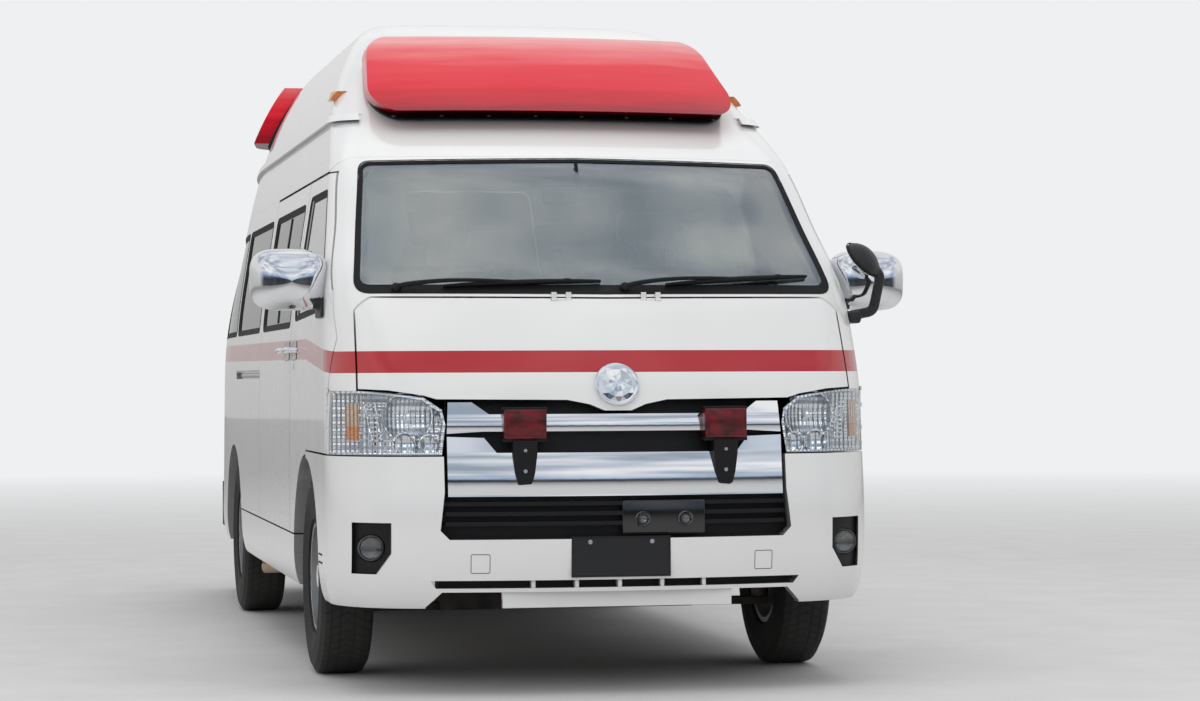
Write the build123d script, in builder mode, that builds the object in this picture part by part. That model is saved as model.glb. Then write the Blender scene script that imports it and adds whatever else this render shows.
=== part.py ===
from build123d import *
from math import atan2, cos, pi, radians, sin, sqrt
import os

os.makedirs("parts", exist_ok=True)

# An ambulance built on a long van with a high roof. Millimetres.
# Origin: on the ground, in the middle of the length and of the width.
# -Y is the front, +Y the rear, -X the driver's side (right hand drive), +X the kerb side.

# Driving sizes of the vehicle
FRONT_OVERHANG = 1035.0
WHEELBASE = 3110.0
REAR_OVERHANG = 1455.0
BODY_WIDTH = 1884.0
TRACK = 1654.0
GROUND_CLEARANCE = 290.0

# Panels: whole thickness of a wall, running gaps and seats
WALL = 60.0
DOOR_GAP = 6.0
SEAM = 4.0
SEAT_GAP = 0.4
FRAME_DEPTH = 30.0
GLASS_RECESS = 6.0
GLASS_THICKNESS = 6.0
GLASS_GAP = 0.4

# Wheels, 15 inch rims
TYRE_RADIUS = 346.5
TYRE_WIDTH = 195.0
RIM_RADIUS = 192.0
AXLE_RADIUS = 30.0
AXLE_FIT = 0.05
KINGPIN_INSET = 90.0
KINGPIN_RADIUS = 16.0
FRONT_ARCH_RADIUS = 425.0
REAR_ARCH_RADIUS = 410.0

# Doors, measured from the front axle unless said otherwise
DOOR_FRONT = -650.0
DOOR_REAR = 560.0
DOOR_TOP = 1790.0
DOOR_TOP_FRONT = -91.0
PILLAR_FOOT = 1347.0
PILLAR_FOOT_BACK = 103.0
PILLAR_BEND = 1190.0
DOOR_SILL = 482.0
BUMPER_TOP = 795.0
SLIDING_DOOR_LENGTH = 1260.0
TAILGATE_WIDTH = 1500.0
TAILGATE_TOP_WIDTH = 1240.0
TAILGATE_BOTTOM = 560.0
TAILGATE_TOP = 1990.0
ROOF_SEAM = 1800.0
SCREEN_SEAM = 1846.0

# Places worked out from the sizes
HALF = BODY_WIDTH / 2
LENGTH = FRONT_OVERHANG + WHEELBASE + REAR_OVERHANG
NOSE = -LENGTH / 2
TAIL = LENGTH / 2
REAR_STEP = 215.0
BODY_TAIL = TAIL - REAR_STEP
FRONT_AXLE = NOSE + FRONT_OVERHANG
REAR_AXLE = FRONT_AXLE + WHEELBASE
DOOR_Y0 = FRONT_AXLE + DOOR_FRONT
DOOR_Y1 = FRONT_AXLE + DOOR_REAR
SLIDE_Y0 = DOOR_Y1 + DOOR_GAP
SLIDE_Y1 = SLIDE_Y0 + SLIDING_DOOR_LENGTH
WHEEL_X = TRACK / 2
KINGPIN_X = WHEEL_X - KINGPIN_INSET
FAR = 4000.0
SMALLEST_CORNER = 12.0
SWEEP_RADIUS = 9200.0

# The body's plan at each height. Columns: height, nose set back from the foremost point,
# tail set in from the body's rear, side set in from the half width, radius of the nose's
# arc, radius of the front corners, radius of the rear corners, length over which the side
# sweeps in to the tail, and lean, which is 0 where the skin is upright and 1 where it is flat.
# The nose's arc is given at ROWS_HALF, and a wider body gets a larger arc with the same bow.
ROWS_HALF = 942.0
NOSE_BOW = (HALF / ROWS_HALF) ** 2
BODY_ROWS = [
    (290, 55, 60, 24, 3000, 340, 200, 900, 0.0),
    (340, 25, 20, 8, 3000, 340, 200, 950, 0.0),
    (480, 0, 0, 0, 3000, 340, 200, 1000, 0.0),
    (640, 0, 0, 0, 3000, 340, 200, 1030, 0.0),
    (790, 20, 0, 0, 3000, 340, 200, 1050, 0.0),
    (1010, 60, 0, 2, 2900, 310, 200, 1060, 0.1),
    (1180, 145, 3, 6, 2700, 270, 200, 1080, 0.1),
    (1350, 255, 12, 20, 2500, 200, 190, 1150, 0.2),
    (1580, 510, 30, 54, 2450, 185, 180, 1300, 0.4),
    (1825, 790, 55, 94, 2400, 170, 170, 1430, 0.5),
    (2000, 1110, 78, 136, 2400, 170, 160, 1450, 0.6),
    (2200, 1480, 110, 207, 2400, 170, 150, 1430, 0.7),
    (2370, 1800, 170, 302, 2400, 160, 140, 1380, 0.85),
    (2440, 2020, 230, 367, 2400, 150, 130, 1330, 0.95),
    (2475, 2240, 290, 442, 2400, 140, 120, 1280, 1.0),
    (2490, 2500, 390, 542, 2400, 130, 110, 1180, 1.0),
]


def tangent_point(centre, small_centre, big, small):
    """Where a small circle inside a big one touches it."""
    reach = big / (big - small)
    dx = small_centre[0] - centre[0]
    dy = small_centre[1] - centre[1]
    return (centre[0] + dx * reach, centre[1] + dy * reach)


def point_on(centre, radius, angle):
    """The point of a circle at an angle."""
    return (centre[0] + radius * cos(angle), centre[1] + radius * sin(angle))


def body_solid(inset):
    """The whole body as one solid, with every wall moved in by inset."""
    with BuildPart() as body:
        for height, nose, tail, side, nose_r, corner, rear, sweep_length, lean in BODY_ROWS:
            half = HALF - side - inset
            y_nose = NOSE + nose + inset
            y_tail = BODY_TAIL - tail - inset
            big = nose_r * NOSE_BOW - inset
            small = max(corner - inset, SMALLEST_CORNER)
            back = max(rear - inset, SMALLEST_CORNER)
            long = SWEEP_RADIUS - inset
            nose_centre = (0, y_nose + big)
            corner_x = half - small
            drop = sqrt((big - small) ** 2 - corner_x**2)
            corner_centre = (corner_x, nose_centre[1] - drop)
            meet = tangent_point(nose_centre, corner_centre, big, small)
            turn = atan2(corner_centre[1] - nose_centre[1], corner_x) / 2
            middle = point_on(corner_centre, small, turn)
            y_sweep = y_tail - sweep_length + inset
            sweep_centre = (half - long, y_sweep)
            rise = y_tail - back - y_sweep
            rear_x = sweep_centre[0] + sqrt((long - back) ** 2 - rise**2)
            rear_centre = (rear_x, y_tail - back)
            leave = tangent_point(sweep_centre, rear_centre, long, back)
            sweep_angle = atan2(rise, rear_x - sweep_centre[0])
            sweep_middle = point_on(sweep_centre, long, sweep_angle / 2)
            rear_middle = point_on(rear_centre, back, (sweep_angle + pi / 2) / 2)
            side_front = (half, corner_centre[1])
            side_rear = (half, y_sweep)
            tail_end = (rear_x, y_tail)
            with BuildSketch(Plane.XY.offset(height - inset * lean)):
                with BuildLine() as half_outline:
                    ThreePointArc((0, y_nose), point_on(nose_centre, big, -pi / 2 + 0.1), meet)
                    ThreePointArc(meet, middle, side_front)
                    Line(side_front, side_rear)
                    ThreePointArc(side_rear, sweep_middle, leave)
                    ThreePointArc(leave, rear_middle, tail_end)
                    Line(tail_end, (0, y_tail))
                    mirror(about=Plane.YZ)
                make_face()
        loft()
    return body.part


made_bodies = {}


def body_at(inset):
    """The body at an inset, made once and kept."""
    if inset not in made_bodies:
        made_bodies[inset] = body_solid(inset)
    return made_bodies[inset]


def side_prism(points, radius=0.0, x0=-FAR, x1=0.0):
    """A prism along X whose outline is drawn in the side view, as (y, z) points."""
    with BuildPart() as prism:
        with BuildSketch(Plane.YZ.offset(x0)) as outline:
            with BuildLine():
                Polyline(*points, close=True)
            make_face()
            if radius:
                fillet(outline.vertices(), radius)
        extrude(amount=x1 - x0)
    return prism.part


def front_prism(points, radius=0.0, y0=-FAR, y1=FAR):
    """A prism along Y whose outline is drawn in the front view, as (x, z) points."""
    with BuildPart() as prism:
        with BuildSketch(Plane.XZ.offset(-y0)) as outline:
            with BuildLine():
                Polyline(*points, close=True)
            make_face()
            if radius:
                fillet(outline.vertices(), radius)
        extrude(amount=y0 - y1)
    return prism.part


def side_disc(y, z, radius, x0=-FAR, x1=0.0):
    """A cylinder along X."""
    with BuildPart() as disc:
        with BuildSketch(Plane.YZ.offset(x0)):
            with Locations((y, z)):
                Circle(radius)
        extrude(amount=x1 - x0)
    return disc.part


def block(x0, x1, y0, y1, z0, z1):
    """A block from its six faces."""
    with BuildPart() as solid:
        with Locations(((x0 + x1) / 2, (y0 + y1) / 2, (z0 + z1) / 2)):
            Box(x1 - x0, y1 - y0, z1 - z0)
    return solid.part


def panel(layer, keep, cuts=()):
    """A layer, given by its outer and inner insets, inside the prism keep, less each cut."""
    outer = body_at(layer[0])
    inner = body_at(layer[1])
    with BuildPart() as piece:
        add(keep)
        add(outer, mode=Mode.INTERSECT)
        add(inner, mode=Mode.SUBTRACT)
        for cut in cuts:
            add(cut, mode=Mode.SUBTRACT)
    return piece.part


def grow(points, by):
    """An outline's points moved away from its middle by a margin on each axis."""
    xs = [p[0] for p in points]
    ys = [p[1] for p in points]
    cx = (min(xs) + max(xs)) / 2
    cy = (min(ys) + max(ys)) / 2
    moved = []
    for x, y in points:
        dx = by if x > cx else -by
        dy = by if y > cy else -by
        moved.append((x + dx, y + dy))
    return moved


def save(part, name):
    """Labels a finished piece and writes it."""
    part.label = name
    export_step(part, "parts/" + name + ".step")


def pair(piece):
    """A piece of the right side together with its mirror image on the left."""
    with BuildPart() as both:
        add(piece)
        mirror(about=Plane.YZ)
    return both.part


# Layers of the body that the panels are cut from, each as its outer and inner insets
WALL_LAYER = (0, WALL)
DOOR_LAYER = (0, WALL - DOOR_GAP)
SEATED_LAYER = (0, WALL - SEAT_GAP)
FRAME_LAYER = (WALL, WALL + FRAME_DEPTH)
GLASS_LAYER = (GLASS_RECESS, GLASS_RECESS + GLASS_THICKNESS)

# Outlines in the side view
ARCH_Z = TYRE_RADIUS
front_arch = side_disc(FRONT_AXLE, ARCH_Z, FRONT_ARCH_RADIUS)
front_arch_clear = side_disc(FRONT_AXLE, ARCH_Z, FRONT_ARCH_RADIUS + 12)
rear_arch = side_disc(REAR_AXLE, ARCH_Z, REAR_ARCH_RADIUS)
pillar_top_y = FRONT_AXLE + DOOR_TOP_FRONT
DOOR_OUTLINE = [
    (DOOR_Y0, BUMPER_TOP + DOOR_GAP),
    (FRONT_AXLE, BUMPER_TOP + DOOR_GAP),
    (FRONT_AXLE, DOOR_SILL),
    (DOOR_Y1, DOOR_SILL),
    (DOOR_Y1, DOOR_TOP),
    (pillar_top_y, DOOR_TOP),
    (DOOR_Y0 + PILLAR_FOOT_BACK, PILLAR_FOOT),
    (DOOR_Y0, PILLAR_BEND),
]
SLIDE_OUTLINE = [
    (SLIDE_Y0, DOOR_SILL),
    (SLIDE_Y1, DOOR_SILL),
    (SLIDE_Y1, DOOR_TOP),
    (SLIDE_Y0, DOOR_TOP),
]
BELT = 1250.0
WINDOW_TOP = 1715.0
DOOR_WINDOW = [
    (DOOR_Y0 + 178, BELT + 45),
    (DOOR_Y1 - 95, BELT + 20),
    (DOOR_Y1 - 95, WINDOW_TOP + 15),
    (pillar_top_y + 32, WINDOW_TOP + 15),
]
SLIDE_WINDOW = [
    (SLIDE_Y0 + 70, BELT),
    (SLIDE_Y1 - 80, BELT),
    (SLIDE_Y1 - 80, WINDOW_TOP),
    (SLIDE_Y0 + 70, WINDOW_TOP),
]
QUARTER_Y0 = SLIDE_Y1 + 85
QUARTER_Y1 = BODY_TAIL - 230
QUARTER_POST = 80.0
quarter_middle = (QUARTER_Y0 + QUARTER_Y1) / 2
QUARTER_WINDOWS = [
    [
        (QUARTER_Y0, BELT),
        (quarter_middle - QUARTER_POST / 2, BELT),
        (quarter_middle - QUARTER_POST / 2, WINDOW_TOP),
        (QUARTER_Y0, WINDOW_TOP),
    ],
    [
        (quarter_middle + QUARTER_POST / 2, BELT),
        (QUARTER_Y1, BELT),
        (QUARTER_Y1, WINDOW_TOP),
        (quarter_middle + QUARTER_POST / 2, WINDOW_TOP),
    ],
]
WINDOW_CORNER = 45.0

# Outlines in the front view
SCREEN_BOTTOM = 1340.0
SCREEN_TOP = 1834.0
SCREEN = [
    (-(HALF - 100), SCREEN_BOTTOM + 6),
    (-(HALF - 182), SCREEN_TOP - 6),
    (0, SCREEN_TOP + 3),
    (HALF - 182, SCREEN_TOP - 6),
    (HALF - 100, SCREEN_BOTTOM + 6),
    (0, SCREEN_BOTTOM),
]
BONNET_BOTTOM = 985.0
BONNET_DIP = 945.0
BONNET_DIP_HALF = 95.0
BONNET_TOP = SCREEN_BOTTOM - 12
BONNET = [
    (-(HALF - 93), 1020),
    (-(HALF - 101), BONNET_TOP),
    (0, BONNET_TOP - 6),
    (HALF - 101, BONNET_TOP),
    (HALF - 93, 1020),
    (HALF - 186, 1015),
    (HALF - 297, 998),
    (HALF - 340, BONNET_BOTTOM),
    (170, BONNET_BOTTOM - 4),
    (BONNET_DIP_HALF, 966),
    (45, BONNET_DIP),
    (-45, BONNET_DIP),
    (-BONNET_DIP_HALF, 966),
    (-170, BONNET_BOTTOM - 4),
    (-(HALF - 340), BONNET_BOTTOM),
    (-(HALF - 297), 998),
    (-(HALF - 186), 1015),
]
BONNET_HOLE = [
    (-(HALF - 93 + DOOR_GAP), 1012),
    (-(HALF - 101 + DOOR_GAP), BONNET_TOP + DOOR_GAP),
    (0, BONNET_TOP),
    (HALF - 101 + DOOR_GAP, BONNET_TOP + DOOR_GAP),
    (HALF - 93 + DOOR_GAP, 1012),
    (HALF - 93 + DOOR_GAP, 700),
    (-(HALF - 93 + DOOR_GAP), 700),
]
LAMP_INNER = HALF - 353
LAMP = [
    (-(HALF + 20), BUMPER_TOP + SEAM),
    (-(HALF + 20), 1014),
    (-(HALF - 93), 1013),
    (-(HALF - 186), 1008),
    (-(HALF - 300), 990),
    (-(LAMP_INNER - 4), 950),
    (-(LAMP_INNER - 14), 900),
    (-LAMP_INNER, BUMPER_TOP + SEAM),
]
LAMP_DEPTH = 110.0
LAMP_REAR = NOSE + 364



def hinge_rod(z0, z1, radius):
    """A rod on the right front door's hinge line."""
    with BuildPart() as rod:
        with Locations((DOOR_HINGE_X, DOOR_HINGE_Y, (z0 + z1) / 2)):
            Cylinder(radius, z1 - z0)
    return rod.part


# Each front door hangs on two hinges: a barrel in the door between two ears of the nose
DOOR_HINGE_X = -(HALF - 6)
DOOR_HINGE_Y = DOOR_Y0 + 8
DOOR_HINGES = (850.0, 985.0)
DOOR_BARREL = 40.0
DOOR_EAR = 16.0
DOOR_BARREL_RADIUS = 5.0
DOOR_PIN_RADIUS = 2.5
HINGE_FIT = 0.05
HINGE_PLAY = 1.0
DOOR_NOTCH_RADIUS = 9.4
EAR_HALF = 3.0
barrel_half = DOOR_BARREL / 2
ear_end = barrel_half + DOOR_EAR
ear_seat_y = DOOR_Y0 - DOOR_GAP - 8

# Doors, with their glass. The inner edge beside the hinge is cut back, so that it turns
# past the frame behind it.
DOOR_EDGE_REACH = 66.0
DOOR_EDGE_LENGTH = 50.0
door_window = side_prism(DOOR_WINDOW, WINDOW_CORNER)
door_edge_cut = block(
    DOOR_HINGE_X + DOOR_EDGE_REACH,
    0,
    DOOR_Y0 - DOOR_EDGE_LENGTH,
    DOOR_Y0 + DOOR_EDGE_LENGTH,
    BUMPER_TOP,
    PILLAR_FOOT,
)
door_cuts = [door_window, front_arch_clear, door_edge_cut]
door_skin = panel(DOOR_LAYER, side_prism(DOOR_OUTLINE), door_cuts)
with BuildPart() as door_right:
    add(door_skin)
    for z in DOOR_HINGES:
        add(
            [
                hinge_rod(z - ear_end - HINGE_PLAY, z - barrel_half, DOOR_NOTCH_RADIUS),
                hinge_rod(z + barrel_half, z + ear_end + HINGE_PLAY, DOOR_NOTCH_RADIUS),
            ],
            mode=Mode.SUBTRACT,
        )
        add(hinge_rod(z - barrel_half, z + barrel_half, DOOR_BARREL_RADIUS))
        add(
            hinge_rod(z - barrel_half, z + barrel_half, DOOR_PIN_RADIUS + HINGE_FIT),
            mode=Mode.SUBTRACT,
        )
save(door_right.part, "front_door_right")
save(door_right.part.mirror(Plane.YZ), "front_door_left")
with BuildPart() as door_ears:
    for z in DOOR_HINGES:
        for low, high in (
            (z - ear_end, z - barrel_half - HINGE_PLAY),
            (z + barrel_half + HINGE_PLAY, z + ear_end),
        ):
            add(hinge_rod(low, high, DOOR_BARREL_RADIUS))
            add(
                block(
                    DOOR_HINGE_X - EAR_HALF,
                    DOOR_HINGE_X + EAR_HALF,
                    ear_seat_y,
                    DOOR_HINGE_Y,
                    low,
                    high,
                )
            )
        add(hinge_rod(z - ear_end, z + ear_end, DOOR_PIN_RADIUS))
door_pane = side_prism(grow(DOOR_WINDOW, -GLASS_GAP), WINDOW_CORNER)
door_glass = panel(GLASS_LAYER, door_pane)
save(door_glass, "door_glass_right")
save(door_glass.mirror(Plane.YZ), "door_glass_left")

slide_window = side_prism(SLIDE_WINDOW, WINDOW_CORNER)
sliding_door = panel(SEATED_LAYER, side_prism(SLIDE_OUTLINE), [slide_window])
save(pair(sliding_door), "sliding_doors")

# Tailgate, between the rear corners
TAILGATE_FRONT = BODY_TAIL - 250
gate_half = TAILGATE_WIDTH / 2
gate_top_half = TAILGATE_TOP_WIDTH / 2
GATE_BELT = 1195.0
gate_outline = [
    (-gate_half, TAILGATE_BOTTOM),
    (gate_half, TAILGATE_BOTTOM),
    (gate_half, GATE_BELT),
    (gate_top_half, TAILGATE_TOP),
    (-gate_top_half, TAILGATE_TOP),
    (-gate_half, GATE_BELT),
]
GATE_CORNER = 60.0
GATE_WINDOW_BOTTOM = 1230.0
GATE_WINDOW_TOP = 1800.0
gate_window_outline = [
    (-(gate_half - 130), GATE_WINDOW_BOTTOM),
    (gate_half - 130, GATE_WINDOW_BOTTOM),
    (gate_top_half - 80, GATE_WINDOW_TOP),
    (80 - gate_top_half, GATE_WINDOW_TOP),
]
gate_prism = front_prism(gate_outline, GATE_CORNER, TAILGATE_FRONT)
gate_hole = front_prism(grow(gate_outline, DOOR_GAP), GATE_CORNER, TAILGATE_FRONT)
gate_window = front_prism(gate_window_outline, GATE_CORNER, TAILGATE_FRONT)
gate_pane = front_prism(grow(gate_window_outline, -GLASS_GAP), GATE_CORNER, TAILGATE_FRONT)


def gate_rod(x0, x1, radius):
    """A rod on the tailgate's hinge line, with its twin on the other side."""
    return pair(side_disc(GATE_HINGE_Y, GATE_HINGE_Z, radius, x0, x1))


# The tailgate hangs on two hinges: a barrel on the gate between two ears on the roof
GATE_HINGE_Y = BODY_TAIL - 74
GATE_HINGE_Z = TAILGATE_TOP + 1
HINGE_BARREL = 9.0
HINGE_PIN = 5.0
HINGE_NOTCH = HINGE_BARREL + SEAT_GAP
BARREL_X0 = -370.0
BARREL_X1 = -330.0
EAR_WIDTH = 18.0
EAR_GAP = 2.0
ear_out = BARREL_X0 - EAR_GAP - EAR_WIDTH
ear_in = BARREL_X1 + EAR_GAP + EAR_WIDTH
gate_notches = [
    gate_rod(ear_out - EAR_GAP / 2, BARREL_X0 - EAR_GAP / 2, HINGE_NOTCH),
    gate_rod(BARREL_X1 + EAR_GAP / 2, ear_in + EAR_GAP / 2, HINGE_NOTCH),
]
gate_panel = panel(DOOR_LAYER, gate_prism, [gate_window] + gate_notches)
with BuildPart() as tailgate:
    add(gate_panel)
    add(gate_rod(BARREL_X0, BARREL_X1, HINGE_BARREL))
    add(
        gate_rod(BARREL_X0 - EAR_GAP, BARREL_X1 + EAR_GAP, HINGE_PIN + HINGE_FIT),
        mode=Mode.SUBTRACT,
    )
save(tailgate.part, "tailgate")
save(panel(GLASS_LAYER, gate_pane), "tailgate_glass")

# Body sides, with the frame that the doors shut on, down to the sill
SIDE_REAR_FOOT = 305.0
SIDE_OUTLINE = [
    (SLIDE_Y1 + SEAM, DOOR_SILL),
    (REAR_AXLE, DOOR_SILL),
    (REAR_AXLE, SIDE_REAR_FOOT),
    (FAR, SIDE_REAR_FOOT),
    (FAR, ROOF_SEAM - SEAT_GAP),
    (SLIDE_Y1 + SEAM, ROOF_SEAM - SEAT_GAP),
]
FRAME_LIP = 45.0
FRAME_OUTLINE = [
    (FRONT_AXLE + FRONT_ARCH_RADIUS + 15, GROUND_CLEARANCE + 20),
    (REAR_AXLE - REAR_ARCH_RADIUS - 15, GROUND_CLEARANCE + 20),
    (REAR_AXLE - REAR_ARCH_RADIUS - 15, DOOR_SILL + FRAME_LIP),
    (SLIDE_Y1 + 100, DOOR_SILL + FRAME_LIP),
    (SLIDE_Y1 + 100, ROOF_SEAM - SEAT_GAP),
    (pillar_top_y + 20, ROOF_SEAM - SEAT_GAP),
    (DOOR_Y0 + PILLAR_FOOT_BACK - 14, PILLAR_FOOT + 10),
    (DOOR_Y0 - 14, PILLAR_BEND),
    (DOOR_Y0 - 14, BUMPER_TOP + 5),
    (FRONT_AXLE + FRONT_ARCH_RADIUS + 15, BUMPER_TOP + 5),
]
DOOR_APERTURE = [
    (DOOR_Y0 + FRAME_LIP, BUMPER_TOP + FRAME_LIP + 20),
    (FRONT_AXLE + FRONT_ARCH_RADIUS + 20, BUMPER_TOP + FRAME_LIP + 20),
    (FRONT_AXLE + FRONT_ARCH_RADIUS + 20, DOOR_SILL + FRAME_LIP),
    (DOOR_Y1 - FRAME_LIP, DOOR_SILL + FRAME_LIP),
    (DOOR_Y1 - FRAME_LIP, DOOR_TOP - FRAME_LIP),
    (pillar_top_y + FRAME_LIP / 2, DOOR_TOP - FRAME_LIP),
    (DOOR_Y0 + PILLAR_FOOT_BACK + FRAME_LIP, PILLAR_FOOT),
    (DOOR_Y0 + FRAME_LIP, PILLAR_BEND - 20),
]
SLIDE_APERTURE = [
    (SLIDE_Y0 + FRAME_LIP, DOOR_SILL + FRAME_LIP),
    (SLIDE_Y1 - FRAME_LIP, DOOR_SILL + FRAME_LIP),
    (SLIDE_Y1 - FRAME_LIP, DOOR_TOP - FRAME_LIP),
    (SLIDE_Y0 + FRAME_LIP, DOOR_TOP - FRAME_LIP),
]
quarter_cuts = [side_prism(points, WINDOW_CORNER) for points in QUARTER_WINDOWS]
TAIL_LAMP = [
    (-(HALF + 20), 820),
    (-(HALF + 20), 1190),
    (-(gate_half + DOOR_GAP + 28), 1190),
    (-(gate_half + DOOR_GAP + 28), 820),
]
TAIL_LAMP_FRONT = BODY_TAIL - 150
tail_lamp_hole = front_prism(TAIL_LAMP, 0, TAIL_LAMP_FRONT)
middle_cut = block(30 - gate_top_half, FAR, -FAR, FAR, 0, FAR)
RAIL_SLOT_LENGTH = 1160.0
RAIL_SLOT_LOW = 1055.0
RAIL_SLOT_HIGH = 1085.0
RAIL_SLOT_DEPTH = 14.0
RAIL_SLOT = [
    (SLIDE_Y1, RAIL_SLOT_LOW),
    (SLIDE_Y1 + RAIL_SLOT_LENGTH, RAIL_SLOT_LOW),
    (SLIDE_Y1 + RAIL_SLOT_LENGTH, RAIL_SLOT_HIGH),
    (SLIDE_Y1, RAIL_SLOT_HIGH),
]
rail_slot = panel((-SEAT_GAP, RAIL_SLOT_DEPTH), side_prism(RAIL_SLOT))
side_skin = panel(
    WALL_LAYER,
    side_prism(SIDE_OUTLINE),
    quarter_cuts + [rear_arch, gate_hole, middle_cut, tail_lamp_hole, rail_slot],
)
door_frame = panel(
    FRAME_LAYER,
    side_prism(FRAME_OUTLINE),
    [side_prism(DOOR_APERTURE), side_prism(SLIDE_APERTURE), front_arch_clear, rear_arch],
)
with BuildPart() as side_panel:
    add(side_skin)
    add(door_frame)
save(side_panel.part, "side_panel_right")
save(side_panel.part.mirror(Plane.YZ), "side_panel_left")

pane_outlines = [grow(points, -GLASS_GAP) for points in QUARTER_WINDOWS + [SLIDE_WINDOW]]
panes = [panel(GLASS_LAYER, side_prism(outline, WINDOW_CORNER)) for outline in pane_outlines]
with BuildPart() as side_panes:
    add(panes)
save(pair(side_panes.part), "side_glass")

tail_lamp = panel((0, WALL), front_prism(grow(TAIL_LAMP, -SEAT_GAP), 0, TAIL_LAMP_FRONT + SEAT_GAP))
save(pair(tail_lamp), "tail_lamps")

# Sill covers between the wheel arches
SKIRT = [
    (FRONT_AXLE + FRONT_ARCH_RADIUS - 30, GROUND_CLEARANCE),
    (REAR_AXLE - REAR_ARCH_RADIUS + 30, GROUND_CLEARANCE),
    (REAR_AXLE - REAR_ARCH_RADIUS + 30, DOOR_SILL - DOOR_GAP),
    (FRONT_AXLE + FRONT_ARCH_RADIUS - 30, DOOR_SILL - DOOR_GAP),
]
skirt = panel(SEATED_LAYER, side_prism(SKIRT), [front_arch, rear_arch])
save(pair(skirt), "side_skirts")

# High roof, one moulding from the windscreen to the tail
ROOF_SIDE = [
    (-FAR, SCREEN_SEAM),
    (pillar_top_y + 20, SCREEN_SEAM),
    (pillar_top_y + 70, ROOF_SEAM),
    (FAR, ROOF_SEAM),
    (FAR, FAR),
    (-FAR, FAR),
]
roof_outline = side_prism(ROOF_SIDE, 0, -FAR, FAR)
roof_notch = gate_rod(BARREL_X0 - EAR_GAP / 2, BARREL_X1 + EAR_GAP / 2, HINGE_NOTCH)
roof_shell = panel(WALL_LAYER, roof_outline, [gate_hole, roof_notch])
with BuildPart() as high_roof:
    add(roof_shell)
    add(gate_rod(ear_out, BARREL_X0 - EAR_GAP, HINGE_BARREL))
    add(gate_rod(BARREL_X1 + EAR_GAP, ear_in, HINGE_BARREL))
    add(gate_rod(ear_out, ear_in, HINGE_PIN))
save(high_roof.part, "high_roof")

# Nose: pillars, header and wings round the windscreen, bonnet and headlamps
NOSE_SIDE = [
    (-FAR, BUMPER_TOP + SEAM),
    (DOOR_Y0 - DOOR_GAP, BUMPER_TOP + SEAM),
    (DOOR_Y0 - DOOR_GAP, PILLAR_BEND + 2),
    (DOOR_Y0 + PILLAR_FOOT_BACK - DOOR_GAP, PILLAR_FOOT + 4),
    (pillar_top_y - DOOR_GAP, DOOR_TOP + DOOR_GAP),
    (pillar_top_y + 69, DOOR_TOP + DOOR_GAP),
    (pillar_top_y + 20 - SEAT_GAP, SCREEN_SEAM - SEAT_GAP),
    (-FAR, SCREEN_SEAM - SEAT_GAP),
]
SCREEN_CORNER = 45.0
screen_hole = front_prism(SCREEN, SCREEN_CORNER, -FAR, 0)
bonnet_hole = front_prism(BONNET_HOLE, 0, -FAR, LAMP_REAR + DOOR_GAP)
lamp_hole = front_prism(LAMP, 0, -FAR, LAMP_REAR)
lamp_hole_left = lamp_hole.mirror(Plane.YZ)


def bonnet_rod(x0, x1, radius):
    """A rod on the bonnet's hinge line, with its twin on the other side."""
    return pair(side_disc(LID_HINGE_Y, LID_HINGE_Z, radius, x0, x1))


# The bonnet hangs on two hinges under the windscreen
LID_HINGE_Y = NOSE + 240
LID_HINGE_Z = BONNET_TOP - 10
LID_BARREL_RADIUS = 7.0
LID_PIN_RADIUS = 3.0
LID_NOTCH_RADIUS = LID_BARREL_RADIUS + SEAT_GAP
LID_BARREL_X0 = -170.0
LID_BARREL_X1 = -140.0
LID_EAR_WIDTH = 18.0
LID_EAR_RISE = 27.0
LID_EAR_HALF = 4.5
LID_EAR_OUT = LID_BARREL_X0 - HINGE_PLAY - LID_EAR_WIDTH
LID_EAR_IN = LID_BARREL_X1 + HINGE_PLAY + LID_EAR_WIDTH
with BuildPart() as lid_ears:
    for x0, x1 in (
        (LID_EAR_OUT, LID_BARREL_X0 - HINGE_PLAY),
        (LID_BARREL_X1 + HINGE_PLAY, LID_EAR_IN),
    ):
        add(bonnet_rod(x0, x1, LID_BARREL_RADIUS))
        add(
            pair(
                block(
                    x0,
                    x1,
                    LID_HINGE_Y - LID_EAR_HALF,
                    LID_HINGE_Y + LID_EAR_HALF,
                    LID_HINGE_Z,
                    LID_HINGE_Z + LID_EAR_RISE,
                )
            )
        )
    add(bonnet_rod(LID_EAR_OUT, LID_EAR_IN, LID_PIN_RADIUS))
nose_shell = panel(
    WALL_LAYER,
    side_prism(NOSE_SIDE, 0, -FAR, FAR),
    [screen_hole, bonnet_hole, lamp_hole, lamp_hole_left],
)
with BuildPart() as nose_frame:
    add(nose_shell)
    add(pair(door_ears.part))
    add(lid_ears.part)
save(nose_frame.part, "nose_frame")
screen_pane = front_prism(grow(SCREEN, -GLASS_GAP), SCREEN_CORNER, -FAR, 0)
save(panel(GLASS_LAYER, screen_pane), "windscreen")

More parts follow.
